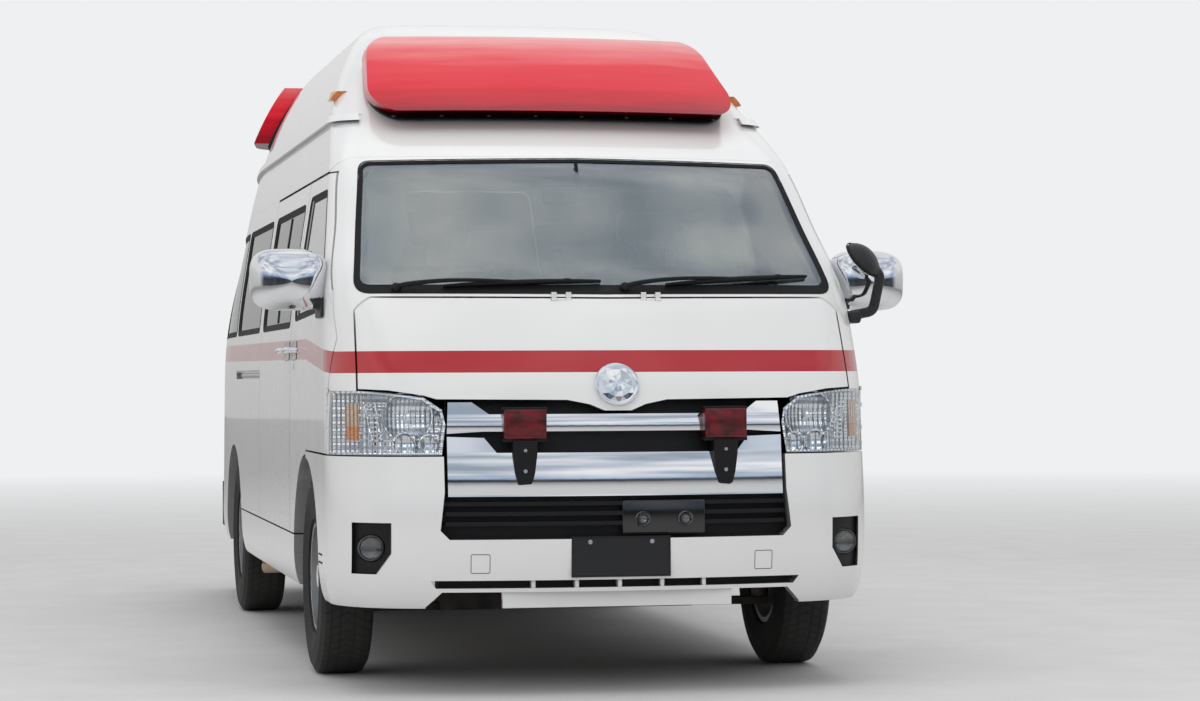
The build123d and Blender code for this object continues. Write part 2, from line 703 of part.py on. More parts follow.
# The inner rear corners swing down past the headlamps, so they are cut off lower down
LID_CORNER_BACK = 10.0
LID_CORNER_DROP = 288.0
bonnet_prism = front_prism(BONNET, 0, -FAR, LAMP_REAR)
bonnet_corners = block(
    -FAR,
    FAR,
    LID_HINGE_Y + LID_CORNER_BACK,
    FAR,
    BUMPER_TOP,
    LID_HINGE_Z - LID_CORNER_DROP,
)
bonnet_skin = panel(DOOR_LAYER, bonnet_prism, [bonnet_corners])
with BuildPart() as bonnet:
    add(bonnet_skin)
    add(bonnet_rod(LID_EAR_OUT - HINGE_PLAY, LID_BARREL_X0, LID_NOTCH_RADIUS), mode=Mode.SUBTRACT)
    add(bonnet_rod(LID_BARREL_X1, LID_EAR_IN + HINGE_PLAY, LID_NOTCH_RADIUS), mode=Mode.SUBTRACT)
    add(bonnet_rod(LID_BARREL_X0, LID_BARREL_X1, LID_BARREL_RADIUS))
    add(
        bonnet_rod(LID_BARREL_X0, LID_BARREL_X1, LID_PIN_RADIUS + HINGE_FIT),
        mode=Mode.SUBTRACT,
    )
save(bonnet.part, "bonnet")

# Headlamps: a clear cover, and behind it an open bowl for the lamps
COVER_SET_BACK = 2.0
COVER_THICKNESS = 5.0
BOWL_WALL = 8.0
cover_inside = COVER_SET_BACK + COVER_THICKNESS
lamp_prism = front_prism(grow(LAMP, -SEAT_GAP), 0, -FAR, LAMP_REAR - SEAT_GAP)
save(pair(panel((COVER_SET_BACK, cover_inside), lamp_prism)), "headlamps")
lamp_room = panel(
    (cover_inside, LAMP_DEPTH - BOWL_WALL),
    front_prism(grow(LAMP, -BOWL_WALL), 0, -FAR, LAMP_REAR - BOWL_WALL),
)
save(pair(panel((cover_inside + SEAT_GAP, LAMP_DEPTH), lamp_prism, [lamp_room])), "lamp_bowls")

# Front bumper with its grille, fog lamp and slot openings
GRILLE_HALF = LAMP_INNER + 9
LOWER_GRILLE_BOTTOM = 520.0
LOWER_GRILLE_TOP = 657.0
GRILLE_OPEN = [
    (-GRILLE_HALF, LOWER_GRILLE_BOTTOM + 30),
    (-(GRILLE_HALF - 30), LOWER_GRILLE_BOTTOM),
    (GRILLE_HALF - 30, LOWER_GRILLE_BOTTOM),
    (GRILLE_HALF, LOWER_GRILLE_BOTTOM + 30),
    (LAMP_INNER - 6, LOWER_GRILLE_TOP + 20),
    (LAMP_INNER - 6, BUMPER_TOP + 40),
    (-(LAMP_INNER - 6), BUMPER_TOP + 40),
    (-(LAMP_INNER - 6), LOWER_GRILLE_TOP + 20),
]
FOG = [
    (-(HALF - 67), 576),
    (-(HALF - 187), 576),
    (-(HALF - 187), 474),
    (-(HALF - 142), 405),
    (-(HALF - 67), 405),
]
SLOT = [(-630, 384), (630, 384), (610, 358), (-610, 358)]
BUMPER_SIDE = [
    (-FAR, GROUND_CLEARANCE),
    (FRONT_AXLE - DOOR_GAP, GROUND_CLEARANCE),
    (FRONT_AXLE - DOOR_GAP, BUMPER_TOP - SEAT_GAP),
    (-FAR, BUMPER_TOP - SEAT_GAP),
]
BUMPER_LIP = 345.0
LIP_CUT = [
    (-640, 0),
    (-640, GROUND_CLEARANCE + 5),
    (-590, BUMPER_LIP),
    (590, BUMPER_LIP),
    (640, GROUND_CLEARANCE + 5),
    (640, 0),
]
BELLY_HALF = 390.0
BELLY_BOTTOM = 291.0
BELLY_FRONT = NOSE + 62
BELLY_BACK = NOSE + 84
FOG_REAR = NOSE + 330
PLATE_WIDTH = 336.0
PLATE_HEIGHT = 135.0
PLATE_MIDDLE = 460.0
PLATE_THICKNESS = 12.0
PLATE_SEAT = NOSE + 14
plate_low = PLATE_MIDDLE - PLATE_HEIGHT / 2
plate_high = PLATE_MIDDLE + PLATE_HEIGHT / 2
plate_side = PLATE_WIDTH / 2
plate_seat = block(-plate_side, plate_side, NOSE - 50, PLATE_SEAT, plate_low, plate_high)
grille_open = front_prism(GRILLE_OPEN, 0, -FAR, FOG_REAR)
fog_hole = front_prism(FOG, 0, -FAR, FOG_REAR)
bumper_shell = panel(
    WALL_LAYER,
    side_prism(BUMPER_SIDE, 0, -FAR, FAR),
    [
        front_prism(LIP_CUT, 0, -FAR, FOG_REAR),
        front_arch,
        front_arch.mirror(Plane.YZ),
        grille_open,
        fog_hole,
        fog_hole.mirror(Plane.YZ),
        front_prism(SLOT, 0, -FAR, FOG_REAR),
        plate_seat,
    ],
)
with BuildPart() as front_bumper:
    add(bumper_shell)
    add(block(-BELLY_HALF, BELLY_HALF, BELLY_FRONT, BELLY_BACK, BELLY_BOTTOM, SLOT[3][1] - 2))
save(front_bumper.part, "front_bumper")

# Fog lamps: a dark bezel with a round lamp at the bottom of a round dish
FOG_LAMP_RADIUS = 42.0
FOG_DISH_RADIUS = 46.0
FOG_X = -(HALF - 127)
FOG_Z = 491.0
FOG_SET_BACK = 14.0
FOG_FLOOR = NOSE + 200
FOG_LAMP_HEIGHT = 22.0


def fog_round(radius, y0, y1):
    """A cylinder along Y at the fog lamp's middle."""
    with BuildPart() as rod:
        with BuildSketch(Plane.XZ.offset(-y0)):
            with Locations((FOG_X, FOG_Z)):
                Circle(radius)
        extrude(amount=y0 - y1)
    return rod.part


fog_layer = (FOG_SET_BACK, WALL + FRAME_DEPTH)
fog_dish = fog_round(FOG_DISH_RADIUS, -FAR, FOG_FLOOR)
bezel = panel(fog_layer, front_prism(grow(FOG, -SEAT_GAP), 0, -FAR, FOG_REAR), [fog_dish])
with BuildPart() as fog_lamp:
    add(bezel)
    add(fog_round(FOG_LAMP_RADIUS, FOG_FLOOR - FOG_LAMP_HEIGHT, FOG_FLOOR + 1))
save(pair(fog_lamp.part), "fog_lamps")

# Grille: a dark backing with slats, and the two bright bars in front of it
SLAT_DEPTH = (26, WALL + 10)
SLAT_HALF = LAMP_INNER - 9
SLAT_HEIGHT = 14.0
SLAT_PLACES = (564, 597, 630)
slats = []
for low in SLAT_PLACES:
    slat = block(-SLAT_HALF, SLAT_HALF, -FAR, FOG_REAR, low, low + SLAT_HEIGHT)
    slats.append(panel(SLAT_DEPTH, slat))
grille_back = panel(
    (WALL + SEAT_GAP, WALL + 20),
    front_prism(
        [
            (-(GRILLE_HALF + 20), LOWER_GRILLE_BOTTOM - 20),
            (GRILLE_HALF + 20, LOWER_GRILLE_BOTTOM - 20),
            (GRILLE_HALF + 20, 760),
            (LAMP_INNER - 20, 790),
            (LAMP_INNER - 20, 990),
            (20 - LAMP_INNER, 990),
            (20 - LAMP_INNER, 790),
            (-(GRILLE_HALF + 20), 760),
        ],
        0,
        -FAR,
        FOG_REAR,
    ),
)
with BuildPart() as grille_frame:
    add(grille_back)
    add(slats)
save(grille_frame.part, "grille_frame")
BARS = [
    [
        (-(LAMP_INNER - 18), 870),
        (-450, 877),
        (450, 877),
        (LAMP_INNER - 18, 870),
        (LAMP_INNER - 24, 974),
        (487, 974),
        (431, 934),
        (-431, 934),
        (-487, 974),
        (-(LAMP_INNER - 24), 974),
    ],
    [
        (-(LAMP_INNER - 18), 662),
        (LAMP_INNER - 18, 662),
        (LAMP_INNER - 18, 860),
        (450, 856),
        (409, 806),
        (-409, 806),
        (-450, 856),
        (-(LAMP_INNER - 18), 860),
    ],
]
bars = [panel((6, WALL), front_prism(bar, 0, -FAR, FOG_REAR)) for bar in BARS]
with BuildPart() as grille_bars:
    add(bars)
save(grille_bars.part, "grille_bars")

# Blank number plate on the bumper
plate_front = PLATE_SEAT - PLATE_THICKNESS
save(
    block(-plate_side, plate_side, plate_front, PLATE_SEAT, plate_low, plate_high),
    "number_plate",
)

# Rear bumper with its step
STEP_TOP = 545.0
STEP_BOTTOM = 330.0
STEP_REACH = 70.0
with BuildPart() as rear_bumper:
    with BuildSketch(Plane.XY.offset(STEP_BOTTOM)) as step_plan:
        with Locations((0, BODY_TAIL - STEP_REACH + (REAR_STEP + STEP_REACH) / 2)):
            Rectangle(BODY_WIDTH - 110, REAR_STEP + STEP_REACH)
        fillet(step_plan.vertices().group_by(Axis.Y)[-1], 90)
    extrude(amount=STEP_TOP - STEP_BOTTOM)
    add(body_at(-SEAT_GAP), mode=Mode.SUBTRACT)
save(rear_bumper.part, "rear_bumper")

# Beacons: red lenses that stand on dark gaskets
BEACON_PROUD = 78.0
GASKET_PROUD = 20.0
BEACON = [(-702, 2026), (702, 2026), (640, 2356), (-640, 2356)]
BEACON_CORNER = 95.0
FRONT_GASKET = [(-690, 2002), (690, 2002), (628, 2340), (-628, 2340)]
GASKET_CORNER = 100.0
BEACON_BACK = FRONT_AXLE + 620
LENS_LAYER = (-BEACON_PROUD, -GASKET_PROUD - SEAT_GAP)
GASKET_LAYER = (-GASKET_PROUD, -SEAT_GAP)
front_beacon = panel(LENS_LAYER, front_prism(BEACON, BEACON_CORNER, -FAR, BEACON_BACK))
save(front_beacon, "front_beacon")
REAR_BEACON_LENGTH = 500.0
REAR_BEACON_LOW = 2190.0
REAR_BEACON_HIGH = 2470.0
REAR_BEACON_RAKE = 110.0
REAR_BEACON_INNER = 430.0
rear_beacon_y0 = BODY_TAIL - REAR_BEACON_LENGTH
REAR_BEACON = [
    (rear_beacon_y0, REAR_BEACON_LOW),
    (FAR, REAR_BEACON_LOW),
    (FAR, REAR_BEACON_HIGH),
    (rear_beacon_y0 + REAR_BEACON_RAKE, REAR_BEACON_HIGH),
]
rear_beacon_cut = block(-REAR_BEACON_INNER, FAR, -FAR, FAR, 0, FAR)
rear_beacon = panel(LENS_LAYER, side_prism(REAR_BEACON), [rear_beacon_cut])
save(pair(rear_beacon), "rear_beacons")
GASKET_RIM = 18.0
gasket_prism = front_prism(FRONT_GASKET, GASKET_CORNER, -FAR, BEACON_BACK)
front_gasket = panel(GASKET_LAYER, gasket_prism)
rear_gasket_prism = side_prism(grow(REAR_BEACON, GASKET_RIM))
rear_gaskets = pair(panel(GASKET_LAYER, rear_gasket_prism, [rear_beacon_cut]))
with BuildPart() as beacon_gaskets:
    add(front_gasket)
    add(rear_gaskets)
save(beacon_gaskets.part, "beacon_gaskets")
MARKER = [
    (FRONT_AXLE + 480, 2100),
    (FRONT_AXLE + 540, 2100),
    (FRONT_AXLE + 540, 2135),
    (FRONT_AXLE + 480, 2135),
]
MARKER_PROUD = 18.0
save(pair(panel((-MARKER_PROUD, -SEAT_GAP), side_prism(MARKER))), "roof_marker_lamps")

# Drip rails along the roof
RAIL_LOW = 2002.0
RAIL_HIGH = 2030.0
DRIP_RAIL = [
    (FRONT_AXLE + 60, RAIL_LOW),
    (BODY_TAIL - 60, RAIL_LOW),
    (BODY_TAIL - 60, RAIL_HIGH),
    (FRONT_AXLE + 60, RAIL_HIGH),
]
RAIL_PROUD = 14.0
rail_prism = side_prism(DRIP_RAIL, 0, -FAR, -600)
front_gasket_cut = block(-720, 720, -FAR, FRONT_AXLE + 240, 0, FAR)
drip_rail = panel((-RAIL_PROUD, -SEAT_GAP), rail_prism, [front_gasket_cut])
save(pair(drip_rail), "drip_rails")

# Wipers parked at the foot of the windscreen
WIPER_WIDTH = 16.0
WIPERS = [
    [(-690, 1362), (-30, 1372), (-30, 1372 + WIPER_WIDTH), (-690, 1362 + WIPER_WIDTH)],
    [(40, 1358), (690, 1384), (690, 1384 + WIPER_WIDTH), (40, 1358 + WIPER_WIDTH)],
]
WIPER_LAYER = (-12, GLASS_RECESS - SEAT_GAP)
wiper_arms = [panel(WIPER_LAYER, front_prism(outline, 0, -FAR, 0)) for outline in WIPERS]
with BuildPart() as wipers:
    add(wiper_arms)
save(wipers.part, "wipers")


# Mirrors on the doors. The housing is lofted through one outline at several sizes.
# Columns: place along Y from the mirror's middle, share of the full size.
MIRROR_ROWS = [
    (-74, 0.42),
    (-62, 0.70),
    (-34, 0.92),
    (6, 1.0),
    (46, 0.98),
]
MIRROR_OUTLINE = [
    (-126, -62),
    (-126, 50),
    (-72, 97),
    (42, 97),
    (110, 50),
    (126, -52),
    (104, -92),
    (0, -98),
    (-98, -88),
]
MIRROR_CORNER = 34.0
MIRROR_X = -(HALF + 95)
MIRROR_Y = FRONT_AXLE - 400
MIRROR_Z = 1400.0
with BuildPart() as mirror_housing:
    for place, share in MIRROR_ROWS:
        corners = [(MIRROR_X + x * share, MIRROR_Z + z * share) for x, z in MIRROR_OUTLINE]
        with BuildSketch(Plane.XZ.offset(-MIRROR_Y - place)) as housing_outline:
            with BuildLine():
                Polyline(*corners, close=True)
            make_face()
            fillet(housing_outline.vertices(), MIRROR_CORNER * share)
    loft()
SAIL = [
    (DOOR_Y0 + 125, BELT + 12),
    (DOOR_Y0 + 330, BELT + 12),
    (DOOR_Y0 + 330, BELT + 220),
]
SAIL_THICKNESS = 12.0
SAIL_CORNER = 14.0
ARM_X0 = MIRROR_X + 30
ARM_X1 = -(HALF - 60)
MIRROR_ARM = [
    (MIRROR_Y - 45, BELT + 45),
    (MIRROR_Y + 35, BELT + 45),
    (MIRROR_Y + 35, BELT + 80),
    (MIRROR_Y - 45, BELT + 80),
]
sail = panel((-SAIL_THICKNESS, -SEAT_GAP), side_prism(SAIL, SAIL_CORNER))
with BuildPart() as mirror_right:
    add(mirror_housing.part)
    add(side_prism(MIRROR_ARM, 12, ARM_X0, ARM_X1))
    add(body_at(-SEAT_GAP), mode=Mode.SUBTRACT)
    add(sail)
save(mirror_right.part, "door_mirror_right")

# The left door also carries a domed mirror on a bent arm, for the view along the nose
DOME_MIDDLE = (HALF + 26, FRONT_AXLE - 585, 1466)
DOME_FACES = (0.58, -0.5, 0.64)
DOME_RADIUS = 78.0
DOME_RISE = 42.0
DOME_RIM = 12.0
DOME_FLAT = 5.0
DOME_WAY_POINT = (DOME_RADIUS * 0.6, DOME_RISE * 0.74)
DOME_ARM_RADIUS = 19.0
DOME_ARM = [
    (HALF - 37, FRONT_AXLE - 530, 1265),
    (HALF + 70, FRONT_AXLE - 560, 1285),
    (HALF + 90, FRONT_AXLE - 585, 1410),
    (HALF + 33, FRONT_AXLE - 591, 1474),
]
DOME_FOOT = [
    (FRONT_AXLE - 600, 1242),
    (FRONT_AXLE - 480, 1242),
    (FRONT_AXLE - 480, 1284),
    (FRONT_AXLE - 600, 1284),
]
dome_plane = Plane(DOME_MIDDLE, z_dir=DOME_FACES)
dome_section = Plane(DOME_MIDDLE, x_dir=dome_plane.x_dir, z_dir=-dome_plane.y_dir)
with BuildPart() as dome_head:
    with BuildSketch(dome_section):
        with BuildLine():
            Line((0, DOME_RISE), (0, -DOME_RIM))
            Line((0, -DOME_RIM), (DOME_RADIUS - DOME_RIM, -DOME_RIM))
            Line((DOME_RADIUS - DOME_RIM, -DOME_RIM), (DOME_RADIUS, 0))
            ThreePointArc((DOME_RADIUS, 0), DOME_WAY_POINT, (DOME_FLAT, DOME_RISE))
            Line((DOME_FLAT, DOME_RISE), (0, DOME_RISE))
        make_face()
    revolve(axis=Axis(dome_plane.origin, dome_plane.z_dir))
with BuildPart() as dome_arm:
    with BuildLine() as dome_line:
        FilletPolyline(*DOME_ARM, radius=28)
    with BuildSketch(Plane(dome_line.line @ 0, z_dir=dome_line.line % 0)):
        Circle(DOME_ARM_RADIUS)
    sweep()
with BuildPart() as dome_mirror:
    add(dome_head.part)
    add(dome_arm.part)
    add(side_prism(DOME_FOOT, 12, HALF - 80, HALF + 18))
    add(body_at(-SEAT_GAP), mode=Mode.SUBTRACT)
with BuildPart() as mirror_left:
    mirror(mirror_right.part, about=Plane.YZ)
    add(dome_mirror.part)
save(mirror_left.part, "door_mirror_left")

# Cab floor, seat box and load floor in one pressing, with the rear wheel boxes
FLOOR_THICKNESS = 30.0
CAB_FLOOR = 520.0
SEAT_BOX_TOP = 830.0
LOAD_FLOOR = 640.0
seat_box_front = FRONT_AXLE - FRONT_ARCH_RADIUS - 25
seat_box_rear = FRONT_AXLE + FRONT_ARCH_RADIUS + 25
FLOOR = [
    (NOSE + 100, CAB_FLOOR - FLOOR_THICKNESS),
    (seat_box_front + FLOOR_THICKNESS, CAB_FLOOR - FLOOR_THICKNESS),
    (seat_box_front + FLOOR_THICKNESS, SEAT_BOX_TOP - FLOOR_THICKNESS),
    (seat_box_rear - FLOOR_THICKNESS, SEAT_BOX_TOP - FLOOR_THICKNESS),
    (seat_box_rear - FLOOR_THICKNESS, LOAD_FLOOR - FLOOR_THICKNESS),
    (TAIL, LOAD_FLOOR - FLOOR_THICKNESS),
    (TAIL, LOAD_FLOOR),
    (seat_box_rear, LOAD_FLOOR),
    (seat_box_rear, SEAT_BOX_TOP),
    (seat_box_front, SEAT_BOX_TOP),
    (seat_box_front, CAB_FLOOR),
    (NOSE + 130, CAB_FLOOR),
    (NOSE + 130, 1240),
    (NOSE + 100, 1240),
]
WHEEL_BOX_TOP = 800.0
WHEEL_BOX_INNER = 640.0
WHEEL_BOX_WALL = 15.0
box_y0 = REAR_AXLE - REAR_ARCH_RADIUS - 25
box_y1 = REAR_AXLE + REAR_ARCH_RADIUS + 25
wheel_box = block(-FAR, -WHEEL_BOX_INNER, box_y0, box_y1, 300, WHEEL_BOX_TOP)
box_room = block(
    -FAR,
    -WHEEL_BOX_INNER - WHEEL_BOX_WALL,
    box_y0 + WHEEL_BOX_WALL,
    box_y1 - WHEEL_BOX_WALL,
    0,
    WHEEL_BOX_TOP - WHEEL_BOX_WALL,
)
box_under = block(-FAR, FAR, -FAR, FAR, 0, LOAD_FLOOR - FLOOR_THICKNESS)
with BuildPart() as floor_pan:
    add(wheel_box)
    add(wheel_box.mirror(Plane.YZ))
    add(box_under, mode=Mode.SUBTRACT)
    add(side_prism(FLOOR, 0, -FAR, FAR))
    add(box_room, mode=Mode.SUBTRACT)
    add(box_room.mirror(Plane.YZ), mode=Mode.SUBTRACT)
    add(body_at(WALL + FRAME_DEPTH + SEAT_GAP), mode=Mode.INTERSECT)
save(floor_pan.part, "floor_pan")

# Dashboard across the cab
DASH = [
    (NOSE + 131, 1022),
    (LAMP_REAR + 8, 1022),
    (LAMP_REAR + 8, 900),
    (NOSE + 440, 900),
    (NOSE + 480, 1010),
    (NOSE + 590, 1060),
    (NOSE + 600, 1190),
    (NOSE + 520, 1260),
    (NOSE + 330, 1290),
    (NOSE + 131, 1239),
]
DASH_HALF = 800.0
with BuildPart() as dashboard:
    add(side_prism(DASH, 0, -DASH_HALF, DASH_HALF))
    add(body_at(WALL + FRAME_DEPTH + SEAT_GAP), mode=Mode.INTERSECT)

# Steering wheel on its column, which comes out of the dashboard
DRIVER_X = -400.0
WHEEL_RING = 190.0
RING_THICKNESS = 15.0
BOSS_RADIUS = 58.0
BOSS_HEIGHT = 34.0
BOSS_BACK = 30.0
SPOKE_WIDTH = 26.0
SPOKE_THICKNESS = 12.0
SPOKE_BACK = 14.0
COLUMN_RADIUS = 22.0
COLUMN_LENGTH = 150.0
COLUMN_FIT = 0.08
COLUMN_TILT = 38.0
STEERING_MIDDLE = (DRIVER_X, NOSE + 730, 1262)
steering_axis = (0, cos(radians(COLUMN_TILT)), sin(radians(COLUMN_TILT)))
steering_plane = Plane(STEERING_MIDDLE, x_dir=(1, 0, 0), z_dir=steering_axis)
ring_plane = Plane(STEERING_MIDDLE, x_dir=(1, 0, 0), z_dir=-steering_plane.y_dir)
with BuildPart() as steering_wheel:
    with BuildSketch(ring_plane):
        with Locations((WHEEL_RING, 0)):
            Circle(RING_THICKNESS)
    revolve(axis=Axis(steering_plane.origin, steering_plane.z_dir))
    with BuildSketch(steering_plane.offset(-BOSS_BACK)):
        Circle(BOSS_RADIUS)
    extrude(amount=BOSS_HEIGHT)
    with BuildSketch(steering_plane.offset(-SPOKE_BACK)):
        for angle in (0, 90, 180):
            with Locations(Location((0, 0), angle)):
                with Locations((0, -WHEEL_RING / 2)):
                    Rectangle(SPOKE_WIDTH, WHEEL_RING)
    extrude(amount=SPOKE_THICKNESS)
    with BuildSketch(steering_plane.offset(-BOSS_BACK)):
        Circle(COLUMN_RADIUS)
    extrude(amount=-COLUMN_LENGTH)
save(steering_wheel.part, "steering_wheel")
COLUMN_HOLE_START = 100.0
COLUMN_HOLE_LENGTH = 500.0
with BuildPart() as column_hole:
    with BuildSketch(steering_plane.offset(COLUMN_HOLE_START)):
        Circle(COLUMN_RADIUS + COLUMN_FIT)
    extrude(amount=-COLUMN_HOLE_LENGTH)
with BuildPart() as dash_with_hole:
    add(dashboard.part)
    add(column_hole.part, mode=Mode.SUBTRACT)
save(dash_with_hole.part, "dashboard")

# Seats: soft blocks on the seat box, and the attendant's bench and stretcher deck behind
SEAT_WIDTH = 520.0
SEAT_FRONT = NOSE + 830
SEAT_BACK = NOSE + 1330
SEAT_CUSHION_TOP = 1000.0
SEAT_BACK_TOP = 1700.0
SEAT_EDGE = 25.0
SEAT_SIDE = [
    (SEAT_FRONT, SEAT_BOX_TOP),
    (SEAT_BACK, SEAT_BOX_TOP),
    (SEAT_BACK + 90, SEAT_BACK_TOP - 220),
    (SEAT_BACK + 70, SEAT_BACK_TOP),
    (SEAT_BACK - 10, SEAT_BACK_TOP),
    (SEAT_BACK - 100, SEAT_CUSHION_TOP + 10),
    (SEAT_FRONT, SEAT_CUSHION_TOP),
]
seat_x0 = DRIVER_X - SEAT_WIDTH / 2
seat_x1 = DRIVER_X + SEAT_WIDTH / 2
save(pair(side_prism(SEAT_SIDE, SEAT_EDGE, seat_x0, seat_x1)), "front_seats")
BENCH_TOP = 1050.0
BENCH_X0 = -600.0
BENCH_X1 = -200.0
BENCH_FRONT = NOSE + 1700
BENCH_REAR = NOSE + 4300
DECK_TOP = 720.0
DECK_X0 = -100.0
DECK_X1 = 480.0
DECK_FRONT = REAR_AXLE - 1500
DECK_REAR = REAR_AXLE + 900
bench = block(BENCH_X0, BENCH_X1, BENCH_FRONT, BENCH_REAR, LOAD_FLOOR, BENCH_TOP)
save(bench, "attendant_bench")
deck = block(DECK_X0, DECK_X1, DECK_FRONT, DECK_REAR, LOAD_FLOOR, DECK_TOP)
save(deck, "stretcher_deck")

# Chassis: two rails that rise over the rear axle, and cross members under the floor
RAIL_X = 400.0
RAIL_WIDTH = 70.0
RAILS = [
    (-FAR, 360),
    (REAR_AXLE - 450, 360),
    (REAR_AXLE - 300, 470),
    (REAR_AXLE + 300, 470),
    (REAR_AXLE + 450, 400),
    (BODY_TAIL - 30, 400),
    (BODY_TAIL - 30, 520),
    (REAR_AXLE + 450, 520),
    (REAR_AXLE + 300, 590),
    (REAR_AXLE - 300, 590),
    (REAR_AXLE - 450, 480),
    (-FAR, 480),
]
CROSS_WIDTH = 70.0
CROSS_HALF = 640.0
CROSS_BOTTOM = 478.0
CAB_CROSS = NOSE + 330
CAB_CROSS_LOW = 400.0
floor_under = LOAD_FLOOR - FLOOR_THICKNESS
cross_places = [seat_box_rear + 60, -560, 60, box_y0 - 90, REAR_AXLE + 620, BODY_TAIL - 160]
with BuildPart() as chassis_frame:
    add(side_prism(RAILS, 0, -RAIL_X - RAIL_WIDTH / 2, -RAIL_X + RAIL_WIDTH / 2))
    add(side_prism(RAILS, 0, RAIL_X - RAIL_WIDTH / 2, RAIL_X + RAIL_WIDTH / 2))
    for y in cross_places:
        y0 = y - CROSS_WIDTH / 2
        add(block(-CROSS_HALF, CROSS_HALF, y0, y0 + CROSS_WIDTH, CROSS_BOTTOM, floor_under))
    y1 = CAB_CROSS + CROSS_WIDTH
    add(block(-CROSS_HALF, CROSS_HALF, CAB_CROSS, y1, CAB_CROSS_LOW, CAB_FLOOR - FLOOR_THICKNESS))
    add(body_at(WALL + SEAT_GAP), mode=Mode.INTERSECT)
save(chassis_frame.part, "chassis_frame")

# Engine and gearbox as one plain block, and the fuel tank
ENGINE_HALF = 290.0
ENGINE_LOW = 360.0
ENGINE_HIGH = 770.0
ENGINE_Y0 = FRONT_AXLE - 230
ENGINE_Y1 = FRONT_AXLE + 380
engine = block(-ENGINE_HALF, ENGINE_HALF, ENGINE_Y0, ENGINE_Y1, ENGINE_LOW, ENGINE_HIGH)
save(engine, "engine_block")
TANK_X0 = 450.0
TANK_X1 = 780.0
TANK_Y0 = -560.0
TANK_Y1 = 60.0
TANK_LOW = 330.0
TANK_CORNER = 35.0
with BuildPart() as fuel_tank:
    add(block(TANK_X0, TANK_X1, TANK_Y0, TANK_Y1, TANK_LOW, CROSS_BOTTOM - SEAT_GAP))
    fillet(fuel_tank.edges().filter_by(Axis.Y), TANK_CORNER)
save(fuel_tank.part, "fuel_tank")

# Exhaust: a silencer and a pipe that leaves ahead of the right rear wheel
PIPE_RADIUS = 28.0
PIPE_BEND = 140.0
SILENCER_RADIUS = 88.0
SILENCER_X = -200.0
SILENCER_Z = 320.0
SILENCER_FRONT = -900.0
SILENCER_LENGTH = 520.0
HANGER_Y = -560.0
HANGER_HALF = 15.0
HANGER_LOW = 390.0
PIPE_POINTS = [
    (SILENCER_X, FRONT_AXLE + 420, 330),
    (SILENCER_X, -150, 300),
    (-520, 420, 260),
    (-860, 700, 235),
]
with BuildPart() as exhaust_pipe:
    with BuildLine() as pipe_line:
        FilletPolyline(*PIPE_POINTS, radius=PIPE_BEND)
    start = pipe_line.line @ 0
    with BuildSketch(Plane(start, z_dir=pipe_line.line % 0)):
        Circle(PIPE_RADIUS)
    sweep()
    with BuildSketch(Plane.XZ.offset(-SILENCER_FRONT)):
        with Locations((SILENCER_X, SILENCER_Z)):
            Circle(SILENCER_RADIUS)
    extrude(amount=-SILENCER_LENGTH)
    add(
        block(
            SILENCER_X - HANGER_HALF,
            SILENCER_X + HANGER_HALF,
            HANGER_Y - HANGER_HALF,
            HANGER_Y + HANGER_HALF,
            HANGER_LOW,
            CROSS_BOTTOM - SEAT_GAP,
        )
    )
save(exhaust_pipe.part, "exhaust_pipe")


# Wheels, drawn about the X axis with the outer face towards -X
RIM_HALF = 76.0
BEAD = RIM_RADIUS - 1
HUB_RADIUS = 62.0
TYRE_PROFILE = [
    (-70, BEAD + SEAT_GAP),
    (-70, BEAD + 10),
    (-84, BEAD + 14),
    (-TYRE_WIDTH / 2, 262),
    (-92, 318),
    (-78, 342),
    (-60, TYRE_RADIUS),
    (60, TYRE_RADIUS),
    (78, 342),
    (92, 318),
    (TYRE_WIDTH / 2, 262),
    (84, BEAD + 14),
    (70, BEAD + 10),
    (70, BEAD + SEAT_GAP),
]
RIM_PROFILE = [
    (-RIM_HALF, BEAD + 6),
    (-RIM_HALF + 5, BEAD + 6),
    (-RIM_HALF + 6, BEAD),
    (RIM_HALF - 6, BEAD),
    (RIM_HALF - 5, BEAD + 6),
    (RIM_HALF, BEAD + 6),
    (RIM_HALF, BEAD - 12),
    (-15, BEAD - 12),
    (-30, 120),
    (-22, HUB_RADIUS),
    (14, HUB_RADIUS),
    (14, AXLE_RADIUS + AXLE_FIT),
    (-62, AXLE_RADIUS + AXLE_FIT),
    (-62, 44),
    (-42, HUB_RADIUS),
    (-45, 120),
    (-30, BEAD - 12),
    (-RIM_HALF, BEAD - 12),
]


def wheel_ring(profile):
    """A ring turned about the X axis from its (x, radius) profile."""
    with BuildPart() as ring:
        with BuildSketch(Plane.XZ):
            with BuildLine():
                Polyline(*profile, close=True)
            make_face()
        revolve(axis=Axis.X)
    return ring.part


SLOT_COUNT = 10
SLOT_CIRCLE = 146.0
SLOT_LENGTH = 52.0
SLOT_WIDTH = 24.0
SLOT_START = -60.0
SLOT_CUT = 50.0
with BuildPart() as rim:
    add(wheel_ring(RIM_PROFILE))
    with BuildSketch(Plane.YZ.offset(SLOT_START)):
        with PolarLocations(SLOT_CIRCLE, SLOT_COUNT):
            SlotOverall(SLOT_LENGTH, SLOT_WIDTH)
    extrude(amount=SLOT_CUT, mode=Mode.SUBTRACT)
tyre = wheel_ring(TYRE_PROFILE)
rim_left = rim.part.mirror(Plane.YZ)
WHEELS = [
    ("front_right", -WHEEL_X, FRONT_AXLE, rim.part),
    ("front_left", WHEEL_X, FRONT_AXLE, rim_left),
    ("rear_right", -WHEEL_X, REAR_AXLE, rim.part),
    ("rear_left", WHEEL_X, REAR_AXLE, rim_left),
]
